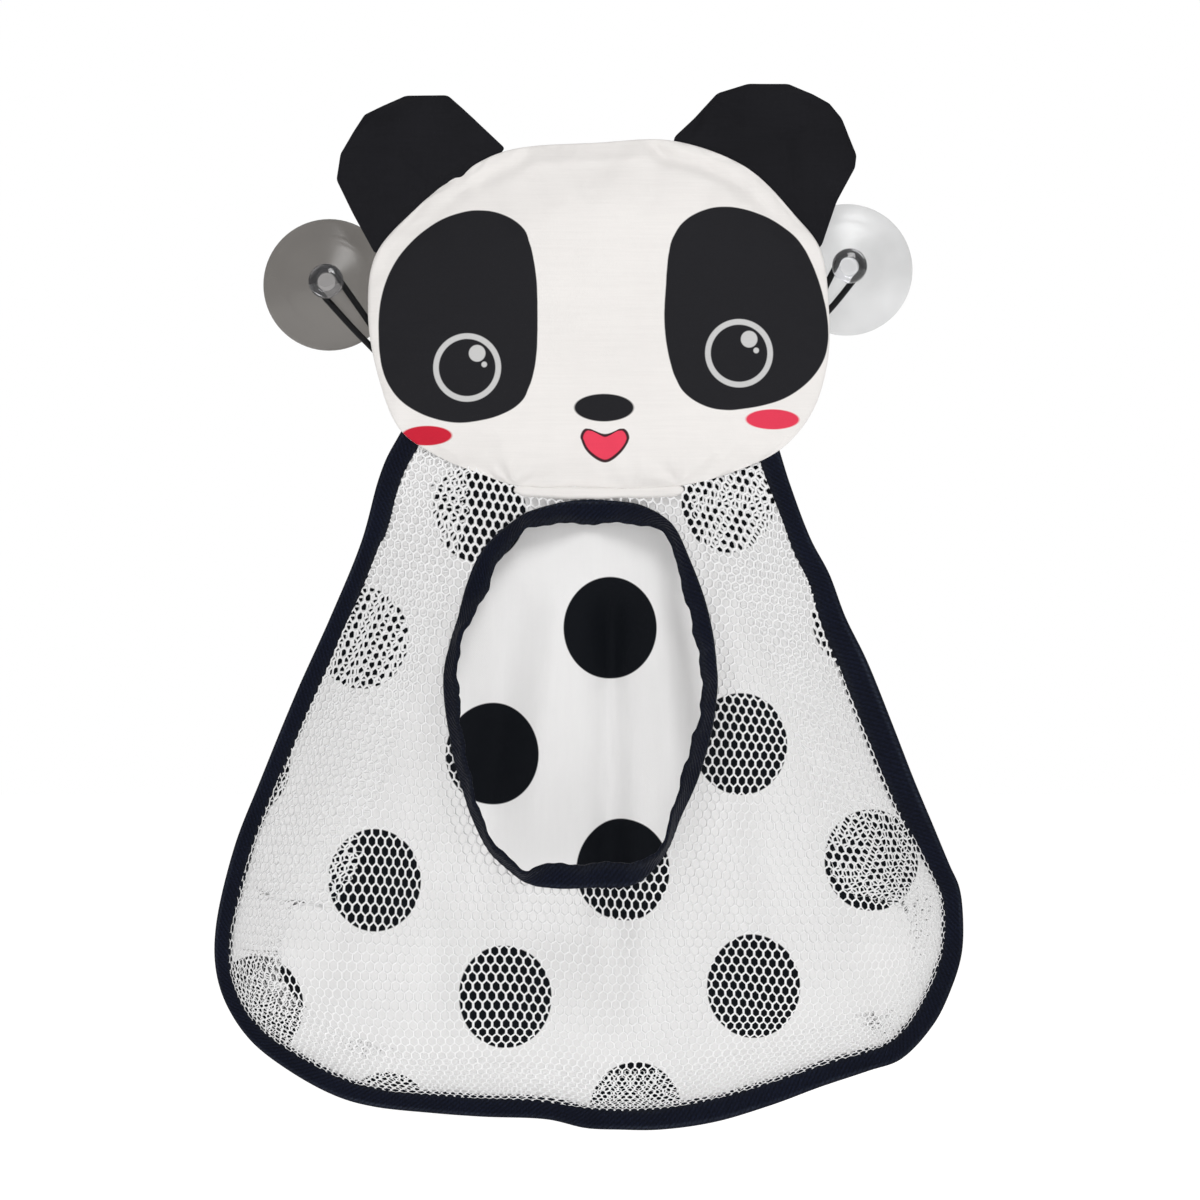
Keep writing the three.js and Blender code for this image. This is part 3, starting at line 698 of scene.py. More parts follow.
elasticCloth = dye(fabric("elasticBraid", {
    "weave": twillWeave, "byUv": True, "threads": 2200, "threadHeight": 0.25, "bump": 0.6, "valleyShade": 0.5,
    "drift": 0.2, "driftScale": 60, "streak": 0.1, "streakScale": (200, 900, 1), "roughness": 0.62,
    "sheen": 0.02, "gloss": 0.15}), (0.0055, 0.0055, 0.007, 1))


# Loop: rings of the cord's radius, square to the route, at even distances along it
def elasticLoop(side):
    route = evenly(loopRoute(side), loopLook["count"], False)
    radius = loopLook["diameter"] / 2
    grid = tubeGrid(route, radius, loopLook["sides"])
    around = np.arange(loopLook["sides"] + 1) * 2 * np.pi * radius / loopLook["sides"]
    loop = sweptPiece(side + "ElasticLoop", grid, False, runAlong(route, False), around)
    loop.data.materials.append(elasticCloth)
    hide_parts(side + "_elastic_loop")
    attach(loop, side + "_loop")
    print("  %s loop: %.1f mm of cord" % (side, runAlong(route, False)[-1]))
    return route


loopRoutes = {side: elasticLoop(side) for side in ("left", "right")}
print("elastic loops")


# Suction cups: a profile of radius and height from the wall, turned about the cup's axis
cupLook = {
    "hollow": [(0.4, 4.4), (8.6, 3.8), (16.1, 2), (21.5, 0.05)],
    "lip": [(22, 0), (24.4, 0), (24.95, 0.3), (24.8, 0.9)],
    "dome": [(23.4, 1.7), (19.8, 3.2), (12.4, 6), (7.1, 8), (4.4, 9.1)],
    "knob": [(3.2, 9.9), (3.2, 12.9), (3.7, 13.4), (5.9, 13.9), (6.6, 15.8), (5.9, 17.9), (3.4, 19.1),
             (0.4, 19.4)],
    "ridgeRadius": 17, "ridgeWidth": 0.8, "ridgeHeight": 0.4, "ridgeAbove": 2.4, "neckEnd": 12.9,
    "sides": 72,
    "cup": {"clear": 0.95, "gloss": 0.6, "blur": 0.3},
    "clearKnob": {"clear": 1.0, "gloss": 1.0, "blur": 0.07},
    # Both cups are the same clear vinyl: the left cup's dark grey tint, and its knob's lighter grey, are
    # painted shade from the head
    "left": {"tint": (0.265, 0.25, 0.235, 1), "knobTint": (0.78, 0.78, 0.82, 1)},
    "right": {"tint": (0.99, 0.995, 1, 1), "knobTint": (0.97, 0.97, 1, 1)},
}
vinylLook = {
    "cloudScale": 45.0, "cloud": (0.84, 1.0), "scuffScale": 420.0, "scuff": (0.03, 0.12),
    "waveScale": 160.0, "waveStrength": 0.06, "waveHeight": 0.4, "bending": 1.07,
}


# Clear soft vinyl with faint clouding and fine scuffs
def vinyl(name, tint, finish):
    material = bpy.data.materials.new(name)
    material.use_nodes = True
    tree = material.node_tree
    shader = tree.nodes["Principled BSDF"]
    coordinate = addNode(tree, "TexCoord").outputs["Object"]
    cloud = toneOver(tree, coordinate, vinylLook["cloudScale"], *vinylLook["cloud"])
    plug(tree, mixColour(tree, 1.0, tint, cloud, "MULTIPLY"), shader.inputs["Base Color"])
    scuff = toneOver(tree, coordinate, vinylLook["scuffScale"], *vinylLook["scuff"])
    plug(tree, scuff, shader.inputs["Roughness"])
    noise = {"Vector": coordinate, "Scale": vinylLook["waveScale"], "Detail": 2.0}
    wave = addNode(tree, "TexNoise", noise).outputs[0]
    bump = addNode(tree, "Bump", {
        "Height": wave, "Strength": vinylLook["waveStrength"], "Distance": vinylLook["waveHeight"] * mm})
    plug(tree, bump.outputs[0], shader.inputs["Normal"])
    shader.inputs["Transmission Weight"].default_value = finish["clear"]
    shader.inputs["IOR"].default_value = vinylLook["bending"]
    shader.inputs["Coat Weight"].default_value = finish["gloss"]
    shader.inputs["Coat Roughness"].default_value = finish["blur"]
    return material


# Cup: the profile with a low ridge round the dome; the knob in front of the neck is the clearest part
def suctionCup(side):
    middle = loopLook[side]["knob"]
    steps = {"hollow": 5, "lip": 3, "dome": 8, "knob": 6}
    profile = np.vstack([smoothCurve(cupLook[part], count, False) for part, count in steps.items()])
    radius, height = profile.T
    ridge = np.exp(-((radius - cupLook["ridgeRadius"]) / cupLook["ridgeWidth"]) ** 2)
    height = height + cupLook["ridgeHeight"] * (height > cupLook["ridgeAbove"]) * ridge
    turn = roundAngles(cupLook["sides"])
    grid = np.stack([
        middle[0] + radius[:, None] * np.cos(turn), -height[:, None] + 0 * turn,
        middle[1] + radius[:, None] * np.sin(turn)], -1)
    cup = sweptPiece(side + "SuctionCup", grid, False)
    # On the left cup this tint carries painted shade
    cup.data.materials.append(vinyl(side + "Vinyl", cupLook[side]["tint"], cupLook["cup"]))
    cup.data.materials.append(vinyl(side + "KnobVinyl", cupLook[side]["knobTint"], cupLook["clearKnob"]))
    middles = np.empty(len(cup.data.polygons) * 3, np.float32)
    cup.data.polygons.foreach_get("center", middles)
    onKnob = middles[1::3] < -cupLook["neckEnd"] * mm
    cup.data.polygons.foreach_set("material_index", onKnob.astype(np.int32))
    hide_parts(side + "_suction_cup")
    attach(cup, side + "_cup")


for side in ("left", "right"):
    suctionCup(side)
print("suction cups")


# Head: white padded cloth with the printed face
faceLook = {
    "softness": 0.35, "printDepth": 0.2,
    "ink": (0.0145, 0.0145, 0.0175, 1), "ring": (0.6, 0.6, 0.6, 1), "outline": (0.05, 0.02, 0.025, 1),
    # Both blushes are the same red ink: the left one is darker as painted shade on the side that curves away
    # from the light
    "mouthRed": (0.86, 0.06, 0.115, 1), "leftBlush": (0.62, 0.017, 0.042, 1),
    "rightBlush": (0.8, 0.05, 0.1, 1), "cloth": (0.875, 0.85, 0.83, 1),
    "leftPatch": [
        (-43.1, 23.6), (-31.5, 20.3), (-26.3, 13.9), (-22.9, 0.8), (-22.1, -15.4), (-22.9, -33.8),
        (-25.9, -43.9), (-31.5, -51), (-43.1, -54.8), (-48.8, -55.9), (-62.6, -53.6), (-73.9, -46.9),
        (-79.9, -37.1), (-81.8, -22.1), (-80.3, -7.1), (-75, 5.3), (-63.8, 16.9), (-53.3, 22.1)],
    "rightPatch": [
        (47.6, 24.8), (37.5, 22.5), (30.4, 16.9), (27, 8.6), (25.5, -6), (25.1, -19.9), (27, -32.6),
        (30.4, -41.6), (36.4, -48), (46.5, -51), (54.8, -50.6), (69.4, -46.9), (79.9, -39.4), (85.5, -30.4),
        (86.6, -19.9), (84.4, -7.1), (78.8, 7.5), (73.1, 15), (61.5, 22.1)],
    "mouth": [(-6, -59.6), (-3.4, -58.1), (3, -60), (10.1, -58.1), (12, -61.1), (9, -66.8), (3, -70.5),
              (-4.1, -66)],
    "eyes": [(-48.4, -35.3), (52.9, -30)], "eyeRadius": 12.7, "eyeLine": 2.1,
    "glintShift": (3.75, 5.25), "glintRadius": 3.1, "sparkShift": (6.4, 1.1), "sparkRadius": 1.05,
    "nose": ((2.6, -50.3), (11.1, 5.1)), "leftCheek": ((-63.8, -60.4), (9.6, 3.6)),
    "rightCheek": ((65.6, -54.4), (10.1, 3.7)), "lipLine": 1.1,
}
whiteWeave = {
    "weave": plainWeave, "threads": 2600, "threadHeight": 0.12, "bump": 0.35, "valleyShade": 0.12,
    "drift": 0.035, "driftScale": 25, "streak": 0.03, "streakScale": (60, 60, 1400), "roughness": 0.8,
    "sheen": 0.03, "gloss": 0.12,
}


# Face: the mask of each printed shape mixes its ink over what is printed before it
def faceCloth():
    cloth = fabric("faceCloth", whiteWeave)
    tree = cloth["tree"]
    soft = faceLook["softness"]
    # The print is on the front only
    front = calc(tree, "LESS_THAN", cloth["depth"], (headLook["seamY"] - faceLook["printDepth"]) * mm)
    colour = faceLook["cloth"]

    def printed(mask, ink):
        return mixColour(tree, calc(tree, "MULTIPLY", mask, front), colour, ink)

    for side in ("left", "right"):
        # On the left cheek the blush colour holds painted shade
        blush = ovalOn(cloth, *faceLook[side + "Cheek"], soft)
        colour = printed(blush, faceLook[side + "Blush"])
        colour = printed(outlineMask(cloth, faceLook[side + "Patch"], soft), faceLook["ink"])
    for middle in faceLook["eyes"]:
        radius = faceLook["eyeRadius"]
        within = radius - faceLook["eyeLine"]
        ring = calc(tree, "SUBTRACT", ovalOn(cloth, middle, (radius, radius), soft),
                    ovalOn(cloth, middle, (within, within), soft))
        colour = printed(ring, faceLook["ring"])
        for spot in ("glint", "spark"):
            place = np.array(middle) + faceLook[spot + "Shift"]
            size = faceLook[spot + "Radius"]
            colour = printed(ovalOn(cloth, place, (size, size), soft), faceLook["ring"])
    colour = printed(ovalOn(cloth, *faceLook["nose"], soft), faceLook["ink"])
    colour = printed(outlineMask(cloth, faceLook["mouth"], soft), faceLook["outline"])
    colour = printed(outlineMask(cloth, faceLook["mouth"], soft, faceLook["lipLine"]), faceLook["mouthRed"])
    return dye(cloth, colour)


# Folds of the sewn head, added to the filled shape: a groove beside each ear seam, a ridge under the crown,
# pleats that fan out from the ends of the hem, and slow unevenness
headFolds = {
    "earGroove": {"left": 1.5, "right": 3}, "grooveIn": 7, "grooveWidth": 2.8, "grooveLeast": 0.25,
    "crownRidge": 0.7, "ridgeIn": 7.5, "ridgeWidth": 2.2, "ridgeLeft": (-34, -20), "ridgeRight": (28, 14),
    "pleats": [(-31.5, -79.5, 2.2), (32, -79.5, 0.9)], "pleatDepth": 1.5, "pleatReach": 9, "pleatCount": 7,
    "pleatStart": 3, "unevenness": 0.45, "wavelength": 48, "seed": 1.3, "frontFade": (0.2, 2.5),
    "backUnevenness": 0.3, "backWavelength": 40, "backSeed": 2.2, "backFade": (0.3, 2),
}


# Head: two domes with one seam, filled, then moved forward by the sum of unevenness, ridge and pleats
# less the grooves, and none of it at the seam
def headCushion():
    head = cushionPiece("headCushion", headOutline, headLook)
    inflate(head, headLook)
    points = pointsOf(head)
    x, y, z = points.T
    places = points[:, ::2]
    isFront = easeBetween(headLook["seamY"] - y, *headFolds["frontFade"])
    forward = headFolds["unevenness"] * ripple(x, z, headFolds["wavelength"], headFolds["seed"])
    for side, numbers in (("left", headLook["leftEar"]), ("right", headLook["rightEar"])):
        edge = headEdge(numbers, 0)
        away = np.sqrt(((places[:, None] - edge) ** 2).sum(2))
        share = np.argmin(away, 1) / (len(edge) - 1)
        nearCrown = share if side == "left" else 1 - share
        groove = np.exp(-((away.min(1) - headFolds["grooveIn"]) / headFolds["grooveWidth"]) ** 2)
        least = headFolds["grooveLeast"]
        forward -= headFolds["earGroove"][side] * (least + (1 - least) * nearCrown ** 2) * groove
    crown = np.vstack([headOutline[headLook["leftEar"][1] * headLook["steps"]:],
                       headOutline[:headLook["rightEar"][0] * headLook["steps"]]])
    away = np.sqrt(((places[:, None] - crown) ** 2).sum(2)).min(1)
    between = easeBetween(x, *headFolds["ridgeLeft"]) * easeBetween(x, *headFolds["ridgeRight"])
    ridge = np.exp(-((away - headFolds["ridgeIn"]) / headFolds["ridgeWidth"]) ** 2)
    forward += headFolds["crownRidge"] * between * ridge
    for atX, atZ, phase in headFolds["pleats"]:
        reach = np.hypot(x - atX, z - atZ)
        fan = np.sin(headFolds["pleatCount"] * np.arctan2(z - atZ, x - atX) + phase)
        fading = np.exp(-reach / headFolds["pleatReach"]) * easeBetween(reach, 0, headFolds["pleatStart"])
        forward += headFolds["pleatDepth"] * fan * fading
    points[:, 1] -= forward * isFront
    isBack = easeBetween(y - headLook["seamY"], *headFolds["backFade"])
    backward = headFolds["backUnevenness"] * ripple(x, z, headFolds["backWavelength"], headFolds["backSeed"])
    points[:, 1] += backward * isBack
    setPoints(head, points)
    addSmoothing(head)
    head.data.materials.append(faceCloth())
    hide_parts("head_front", "head_back", "head_foam")
    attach(head, "head")
    return head


headCushion()
plainCloth = dye(fabric("plainCloth", whiteWeave), faceLook["cloth"])
print("head")


# Chin hem: a flat roll of cloth under the head's edge, pinched shut at both ends
hemLook = {
    "drop": 1.3, "height": 4.4, "thickness": 4, "seamY": -13.6, "sides": 20, "count": 90, "pinch": 4,
    "endSize": 0.3, "squareness": 0.8, "dent": 0.25, "dentAt": -0.1, "dentWidth": 0.25,
    # Waves along the hem: height, the length that one radian takes, and phase
    "puckers": [(0.06, 5.2, 0), (0.05, 2.3, 1)], "sway": (0.4, 9, 0),
}


# Point of the hem: its line, plus a rounded section times the size at that distance along it
def chinHem():
    line = evenly(headEdge(headLook["hem"], hemLook["drop"]), hemLook["count"], False)
    normals = leftNormals(line, False)
    run = runAlong(line, False)
    fromEnd = np.minimum(run, run[-1] - run)
    least = hemLook["endSize"]
    size = least + (1 - least) * np.sqrt(np.clip(fromEnd / hemLook["pinch"], 0, 1))
    size = size * (1 + waves(run, *hemLook["puckers"]))
    turn = roundAngles(hemLook["sides"])
    outAcross = np.sign(np.cos(turn)) * np.abs(np.cos(turn)) ** hemLook["squareness"]
    dent = hemLook["dent"] * np.exp(-((outAcross - hemLook["dentAt"]) / hemLook["dentWidth"]) ** 2)
    through = np.sin(turn) * (1 - dent)
    across = size[:, None] * outAcross * hemLook["height"] / 2
    middleY = hemLook["seamY"] + waves(run, hemLook["sway"])
    y = middleY[:, None] - size[:, None] * through * hemLook["thickness"] / 2
    place = line[:, None] + across[..., None] * normals[:, None]
    hem = sweptPiece("chinHem", np.stack([place[..., 0], y, place[..., 1]], -1), False, run)
    hem.data.materials.append(plainCloth)
    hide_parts("chin_hem")
    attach(hem, "head")


chinHem()
print("chin hem")


# Ears: dark padded covers sewn into the head's seam. The free edge of the left one runs from the cheek
# to the crown, and of the right one from the crown to the cheek
earLook = {
    "left": {
        "edge": [(-83.3, 7.6), (-92.1, 24), (-97.9, 35.6), (-96.4, 45.4), (-91.2, 54.1), (-87.2, 60.1),
                 (-80.6, 63.4), (-71.7, 67.4), (-56, 67.5), (-47, 59.4), (-34.1, 47.4)],
        "base": "leftEar", "centre": (-70, 43), "foldPoint": (-61.9, 30.86), "foldLine": (0.782, 0.623),
        "seed": 0.7},
    "right": {
        "edge": [(28.7, 51.8), (36, 58.5), (45, 68.1), (56.6, 71.8), (71.7, 71.8), (81, 67.8), (87.2, 64.3),
                 (91.9, 58.7), (97.5, 44.9), (96.9, 40.1), (89.8, 27.3), (84.4, 11)],
        "base": "rightEar", "centre": (68, 47), "foldPoint": (61.25, 36.8), "foldLine": (0.806, -0.592),
        "seed": 2.9},
    "tuck": 1.6, "seamY": -14, "frontCrown": 4.6, "backCrown": 3.3, "gridCount": 65, "startShare": 0.85,
    "pressure": 5, "tension": 12, "ease": 0.03, "moveCap": 2, "sideways": 0.1,
    "crease": 0.7, "creaseAt": 4, "creaseLean": 0.15, "creaseWidth": 3.5, "creaseSpan": (8, 26),
    "unevenness": 0.5, "wavelength": 30, "sideFade": (0.2, 2), "bendSpan": (-1, 14),
    "rounding": 0.05, "edgeCount": 800, "flatReach": 7, "baseShare": 0.1, "setBack": 0.3,
}
earCloth = dye(fabric("earCloth", {
    **whiteWeave, "threads": 2300, "bump": 0.5, "valleyShade": 0.35, "drift": 0.25, "streak": 0.12,
    "roughness": 0.8, "sheen": 0.05, "gloss": 0.1}), (0.012, 0.012, 0.0155, 1))


# Ear: two domes filled within the facets of its free edge; the move through it is the crease less the
# unevenness, and the thickness is a share that grows with the distance from the head's seam
def earCushion(side):
    own = earLook[side]
    base = headEdge(headLook[own["base"]], -earLook["tuck"])
    edge = facetCurve(own["edge"], earLook["rounding"])
    outline = np.vstack([edge, base[::-1]] if side == "right" else [edge[::-1], base[::-1]])
    outline = evenly(outline, earLook["edgeCount"], True)
    ear = cushionPiece(side + "Ear", outline, {**earLook, "centre": own["centre"]})
    inflate(ear, {**earLook, "centre": own["centre"]})
    points = pointsOf(ear)
    x, y, z = points.T
    foldLine = np.array(own["foldLine"])
    outLine = np.array([-foldLine[1], foldLine[0]])
    local = points[:, ::2] - np.array(own["foldPoint"])
    out = local @ outLine
    along = local @ foldLine
    filled = easeBetween(np.abs(y - earLook["seamY"]), *earLook["sideFade"])
    fromCrease = (along - earLook["creaseAt"] + earLook["creaseLean"] * out) / earLook["creaseWidth"]
    crease = earLook["crease"] * np.exp(-fromCrease ** 2) * easeBetween(out, *earLook["creaseSpan"])
    uneven = earLook["unevenness"] * ripple(x, z, earLook["wavelength"], own["seed"])
    points[:, 1] += filled * np.sign(earLook["seamY"] - y) * (crease - uneven)
    # Flat beside the head's seam, and set back so that the seam lies over it
    fromBase = np.sqrt(((points[:, None, ::2] - base) ** 2).sum(2)).min(1)
    least = earLook["baseShare"]
    full = least + (1 - least) * easeBetween(fromBase, 0, earLook["flatReach"])
    fromSeam = points[:, 1] - earLook["seamY"]
    points[:, 1] = earLook["seamY"] + full * fromSeam + earLook["setBack"] * (1 - full)
    setPoints(ear, points)
    addSmoothing(ear)
    ear.data.materials.append(earCloth)
    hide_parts(*(side + "_ear_" + layer for layer in ("front", "back", "foam")))
    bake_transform(ear)


for side in ("left", "right"):
    earCushion(side)
print("ears")


# Bag outline: the tape's outer edge from the upper left corner down and round to the right
bagLook = {
    "edge": [
        (-71.5, -55), (-74.6, -60.4), (-79, -68.4), (-82.4, -77.5), (-88.4, -99.6), (-100.3, -128.6),
        (-112.6, -155.8), (-126.4, -189.4), (-136.2, -214.5), (-143.3, -245.6), (-143, -261.8),
        (-138.7, -274.8), (-129.6, -287.8), (-114.2, -299.6), (-97, -308.6), (-83.6, -312.2),
        (-63.5, -314.4), (-43.5, -315.9), (-18.4, -317), (-4.2, -320.2), (8.6, -320.8), (23.6, -320.8),
        (43.9, -318), (66, -311.4), (84, -304.7), (102, -298.7), (114, -294.4), (126.4, -281.2),
        (133.2, -267.4), (137, -254.4), (137.4, -239.6), (136, -229.5), (132.5, -221.5), (126.2, -206.4),
        (119, -189.2), (111.4, -169.6), (101.3, -144.5), (93.3, -128.2), (87.2, -112), (80.3, -99),
        (72.3, -77.8), (68, -64), (65.5, -57)],
    "count": 760, "middleY": -12, "halfThickness": 2.1, "netY": -12.65, "panelY": -11.15,
    # Seen width of the tape, as a share of the way along it
    "widths": [
        (0, 8.6), (0.05, 8.2), (0.075, 7), (0.15, 7.4), (0.2, 7), (0.24, 7.5), (0.3, 6.2), (0.33, 6.8),
        (0.37, 8.2), (0.45, 8.4), (0.52, 8.8), (0.56, 10), (0.62, 9.2), (0.66, 8.4), (0.69, 9), (0.75, 8),
        (0.78, 9), (0.81, 11.3), (0.85, 11.8), (0.89, 10.6), (0.93, 8.4), (0.96, 7.6), (1, 9)],
    "topZ": -84.1, "topDepth": 1.5, "fullDepth": 36, "fullDrop": 165, "turnWidth": 32,
    "bendStart": (0, -0.012, -0.066), "bendEnd": (0, -0.012, -0.102),
}
bagEdge = evenly(smoothCurve(bagLook["edge"], 12, False), bagLook["count"], False)
bagNormals = leftNormals(bagEdge, False)
bagShare = np.linspace(0, 1, bagLook["count"])
bagRun = runAlong(bagEdge, False)


# Value at each point of the bag's edge from a table of shares along it and values
def alongTape(table):
    return np.interp(bagShare, *np.transpose(smoothCurve(table, 8, False)))


tapeWidths = alongTape(bagLook["widths"])


# Fabric of the bag hangs on the head at its top; here its placement is only baked into its points, and it is
# attached to no body
def hangOnHead(piece):
    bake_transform(piece)


# How far the net stands forward of the tape when the bag is full: it grows evenly with the drop below the top
def fullDepth(z):
    drop = np.clip((bagLook["topZ"] - z) / bagLook["fullDrop"], 0, 1)
    return bagLook["topDepth"] + (bagLook["fullDepth"] - bagLook["topDepth"]) * drop


tapeLook = {
    "faceRun": 13, "usualWidth": 9, "sectionStep": 0.3,
    # The grey at both edges and the lighter grey along the ridge of the fold are painted highlight, where the
    # folded tape catches the light
    "navy": (0.0042, 0.0066, 0.0185, 1), "edgeHighlight": (0.02, 0.023, 0.03, 1), "ridge": (0.05, 0.062, 0.09, 1),
    "border": (0.12, 0.32), "outerPart": (0.72, 0.84), "edgeHighlightShare": 0.6,
    "patchScale": 28.0, "patch": (0.1, 1.0),
    "ridgeAt": 0.66, "ridgeHalf": 0.07, "ridgeHighlightShare": 0.45, "speckleScale": 1100.0, "speckle": (0.5, 1.5),
    "weave": twillWeave, "byUv": True, "threads": 950, "threadHeight": 0.3, "bump": 0.9, "valleyShade": 0.6,
    "drift": 0.25, "driftScale": 40, "streak": 0.12, "streakScale": (900, 90, 1), "roughness": 0.75,
    "sheen": 0.06, "gloss": 0.09,
}


# Tape: navy in the middle, with painted highlight in lighter grey at both edges and along the ridge of the
# fold where the folded tape catches the light, and a woven speckle
def tapeFabric():
    cloth = fabric("bindingTape", tapeLook)
    tree = cloth["tree"]
    # Share across each face: 0 at the edge towards the net, 1 at the folded edge
    share = calc(tree, "PINGPONG", calc(tree, "DIVIDE", cloth["up"], tapeLook["faceRun"] * mm), 1.0)
    patchy = toneOver(tree, cloth["coordinate"], tapeLook["patchScale"], *tapeLook["patch"])
    edges = []
    # Painted highlight: lighter at both edges of each face and along the ridge of the fold, in patches
    for ends, low, high in ((tapeLook["border"], 1.0, 0.0), (tapeLook["outerPart"], 0.0, 1.0)):
        inputs = {0: share, 1: ends[0], 2: ends[1], 3: low, 4: high}
        edges.append(addNode(tree, "MapRange", inputs, interpolation_type="SMOOTHSTEP").outputs[0])
    edgeHighlight = calc(tree, "MULTIPLY", calc(tree, "ADD", *edges), patchy)
    fromRidge = calc(tree, "ABSOLUTE", calc(tree, "SUBTRACT", share, tapeLook["ridgeAt"]))
    ridge = calc(tree, "MULTIPLY_ADD", fromRidge, -1 / tapeLook["ridgeHalf"], 1.0, clamp=True)
    edgeHighlightPart = calc(tree, "MULTIPLY", edgeHighlight, tapeLook["edgeHighlightShare"])
    colour = mixColour(tree, edgeHighlightPart, tapeLook["navy"], tapeLook["edgeHighlight"])
    ridgeHighlightPart = calc(tree, "MULTIPLY", ridge, calc(tree, "MULTIPLY", patchy, tapeLook["ridgeHighlightShare"]))
    colour = mixColour(tree, ridgeHighlightPart, colour, tapeLook["ridge"])
    speckle = toneOver(tree, cloth["coordinate"], tapeLook["speckleScale"], *tapeLook["speckle"])
    return dye(cloth, mixColour(tree, 1.0, colour, speckle, "MULTIPLY"))


# Distance run round a tape's section, which the weave follows
def sectionRun(across):
    steps = np.diff(across, append=across[0]) * tapeLook["usualWidth"]
    return np.concatenate([[0], np.cumsum(np.hypot(steps, tapeLook["sectionStep"]))])


tapeCloth = tapeFabric()
threadLook = {"stitch": 2.3, "pitch": 3.1, "radius": 0.2, "inset": 1.3, "fromEnd": 4}
threadCloth = dye(fabric("sewingThread", {
    **whiteWeave, "threads": 9000, "threadHeight": 0.05, "drift": 0.2, "sheen": 0.05}),
    (0.006, 0.0075, 0.0125, 1))

# Edge tape: a folded tape whose width, wave and doubled fold change along the bag's edge
edgeLook = {
    "sides": 28, "waveStart": 0.3, "stitchLift": 0.78,
    # Waves along the tape: height, the length that one radian takes, and phase; one pucker for each stitch
    "puckers": [(0.12, threadLook["pitch"] / (2 * math.pi), 0), (0.1, 4.7, 0)],
    "waves": [(0.12, 11, 0), (0.06, 6.1, 1)], "puff": (0.06, 3.3), "puffDrift": (2, 17, 0),
    # Second fold that shows beside the first on the right side
    "doubled": (0.77, 0.82, 0.9, 0.94), "doubleAt": 0.36, "doubleWidth": 0.07, "doubleDepth": 1.3,
}


# Point of the tape: the bag's edge, plus width times share across along its normal; the level is the wave
# less half the thickness times the share through
def edgeTape():
    across, through = tapeSection(edgeLook["sides"])
    width = tapeWidths + waves(bagRun, *edgeLook["puckers"])
    wave = waves(bagRun, *edgeLook["waves"])
    low, full, ease, high = edgeLook["doubled"]
    doubled = easeBetween(bagShare, low, full) * (1 - easeBetween(bagShare, ease, high))
    puff = 1 + waves(bagRun, (*edgeLook["puff"], waves(bagRun, edgeLook["puffDrift"])))
    groove = np.exp(-((across - edgeLook["doubleAt"]) / edgeLook["doubleWidth"]) ** 2)
    half = bagLook["halfThickness"] * puff[:, None] * tapeFullness(across)
    half = half - edgeLook["doubleDepth"] * doubled[:, None] * groove * (through > 0)
    place = bagEdge[:, None] + (width[:, None] * across)[..., None] * bagNormals[:, None]
    y = bagLook["middleY"] + wave[:, None] * (edgeLook["waveStart"] + across) - half * through
    grid = np.stack([place[..., 0], y, place[..., 1]], -1)
    tape = sweptPiece("edgeTape", grid, False, bagRun, sectionRun(across))
    tape.data.materials.append(tapeCloth)
    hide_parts("edge_binding")
    hangOnHead(tape)
    inset = width - threadLook["inset"]
    line = bagEdge + inset[:, None] * bagNormals
    middleY = bagLook["middleY"] + wave * (edgeLook["waveStart"] + inset / width)
    lift = bagLook["halfThickness"] * puff * edgeLook["stitchLift"]
    stitches = [np.c_[line[:, 0], level, line[:, 1]] for level in (middleY - lift, middleY + lift)]
    tapeStitches("edgeTapeStitches", stitches, False)
    return tape


# Stitches at an even pitch along each of the given lines, front first and back second
def tapeStitches(name, lines, closed):
    starts, ends, outwards = [], [], []
    for line, facing in zip(lines, (-1.0, 1.0)):
        run = runAlong(line, closed)
        loop = np.vstack([line, line[:1]]) if closed else line
        at = np.arange(threadLook["fromEnd"], run[-1] - threadLook["fromEnd"], threadLook["pitch"])
        starts.append(np.stack([np.interp(at, run, loop[:, k]) for k in range(3)], 1))
        ends.append(np.stack([np.interp(at + threadLook["stitch"], run, loop[:, k]) for k in range(3)], 1))
        outwards.append(np.tile([0.0, facing, 0.0], (len(at), 1)))
    row = stitchRow(name, np.vstack(starts), np.vstack(ends), np.vstack(outwards), threadLook["radius"])
    row.data.materials.append(threadCloth)
    hangOnHead(row)


edgeTapePiece = edgeTape()
print("edge tape")


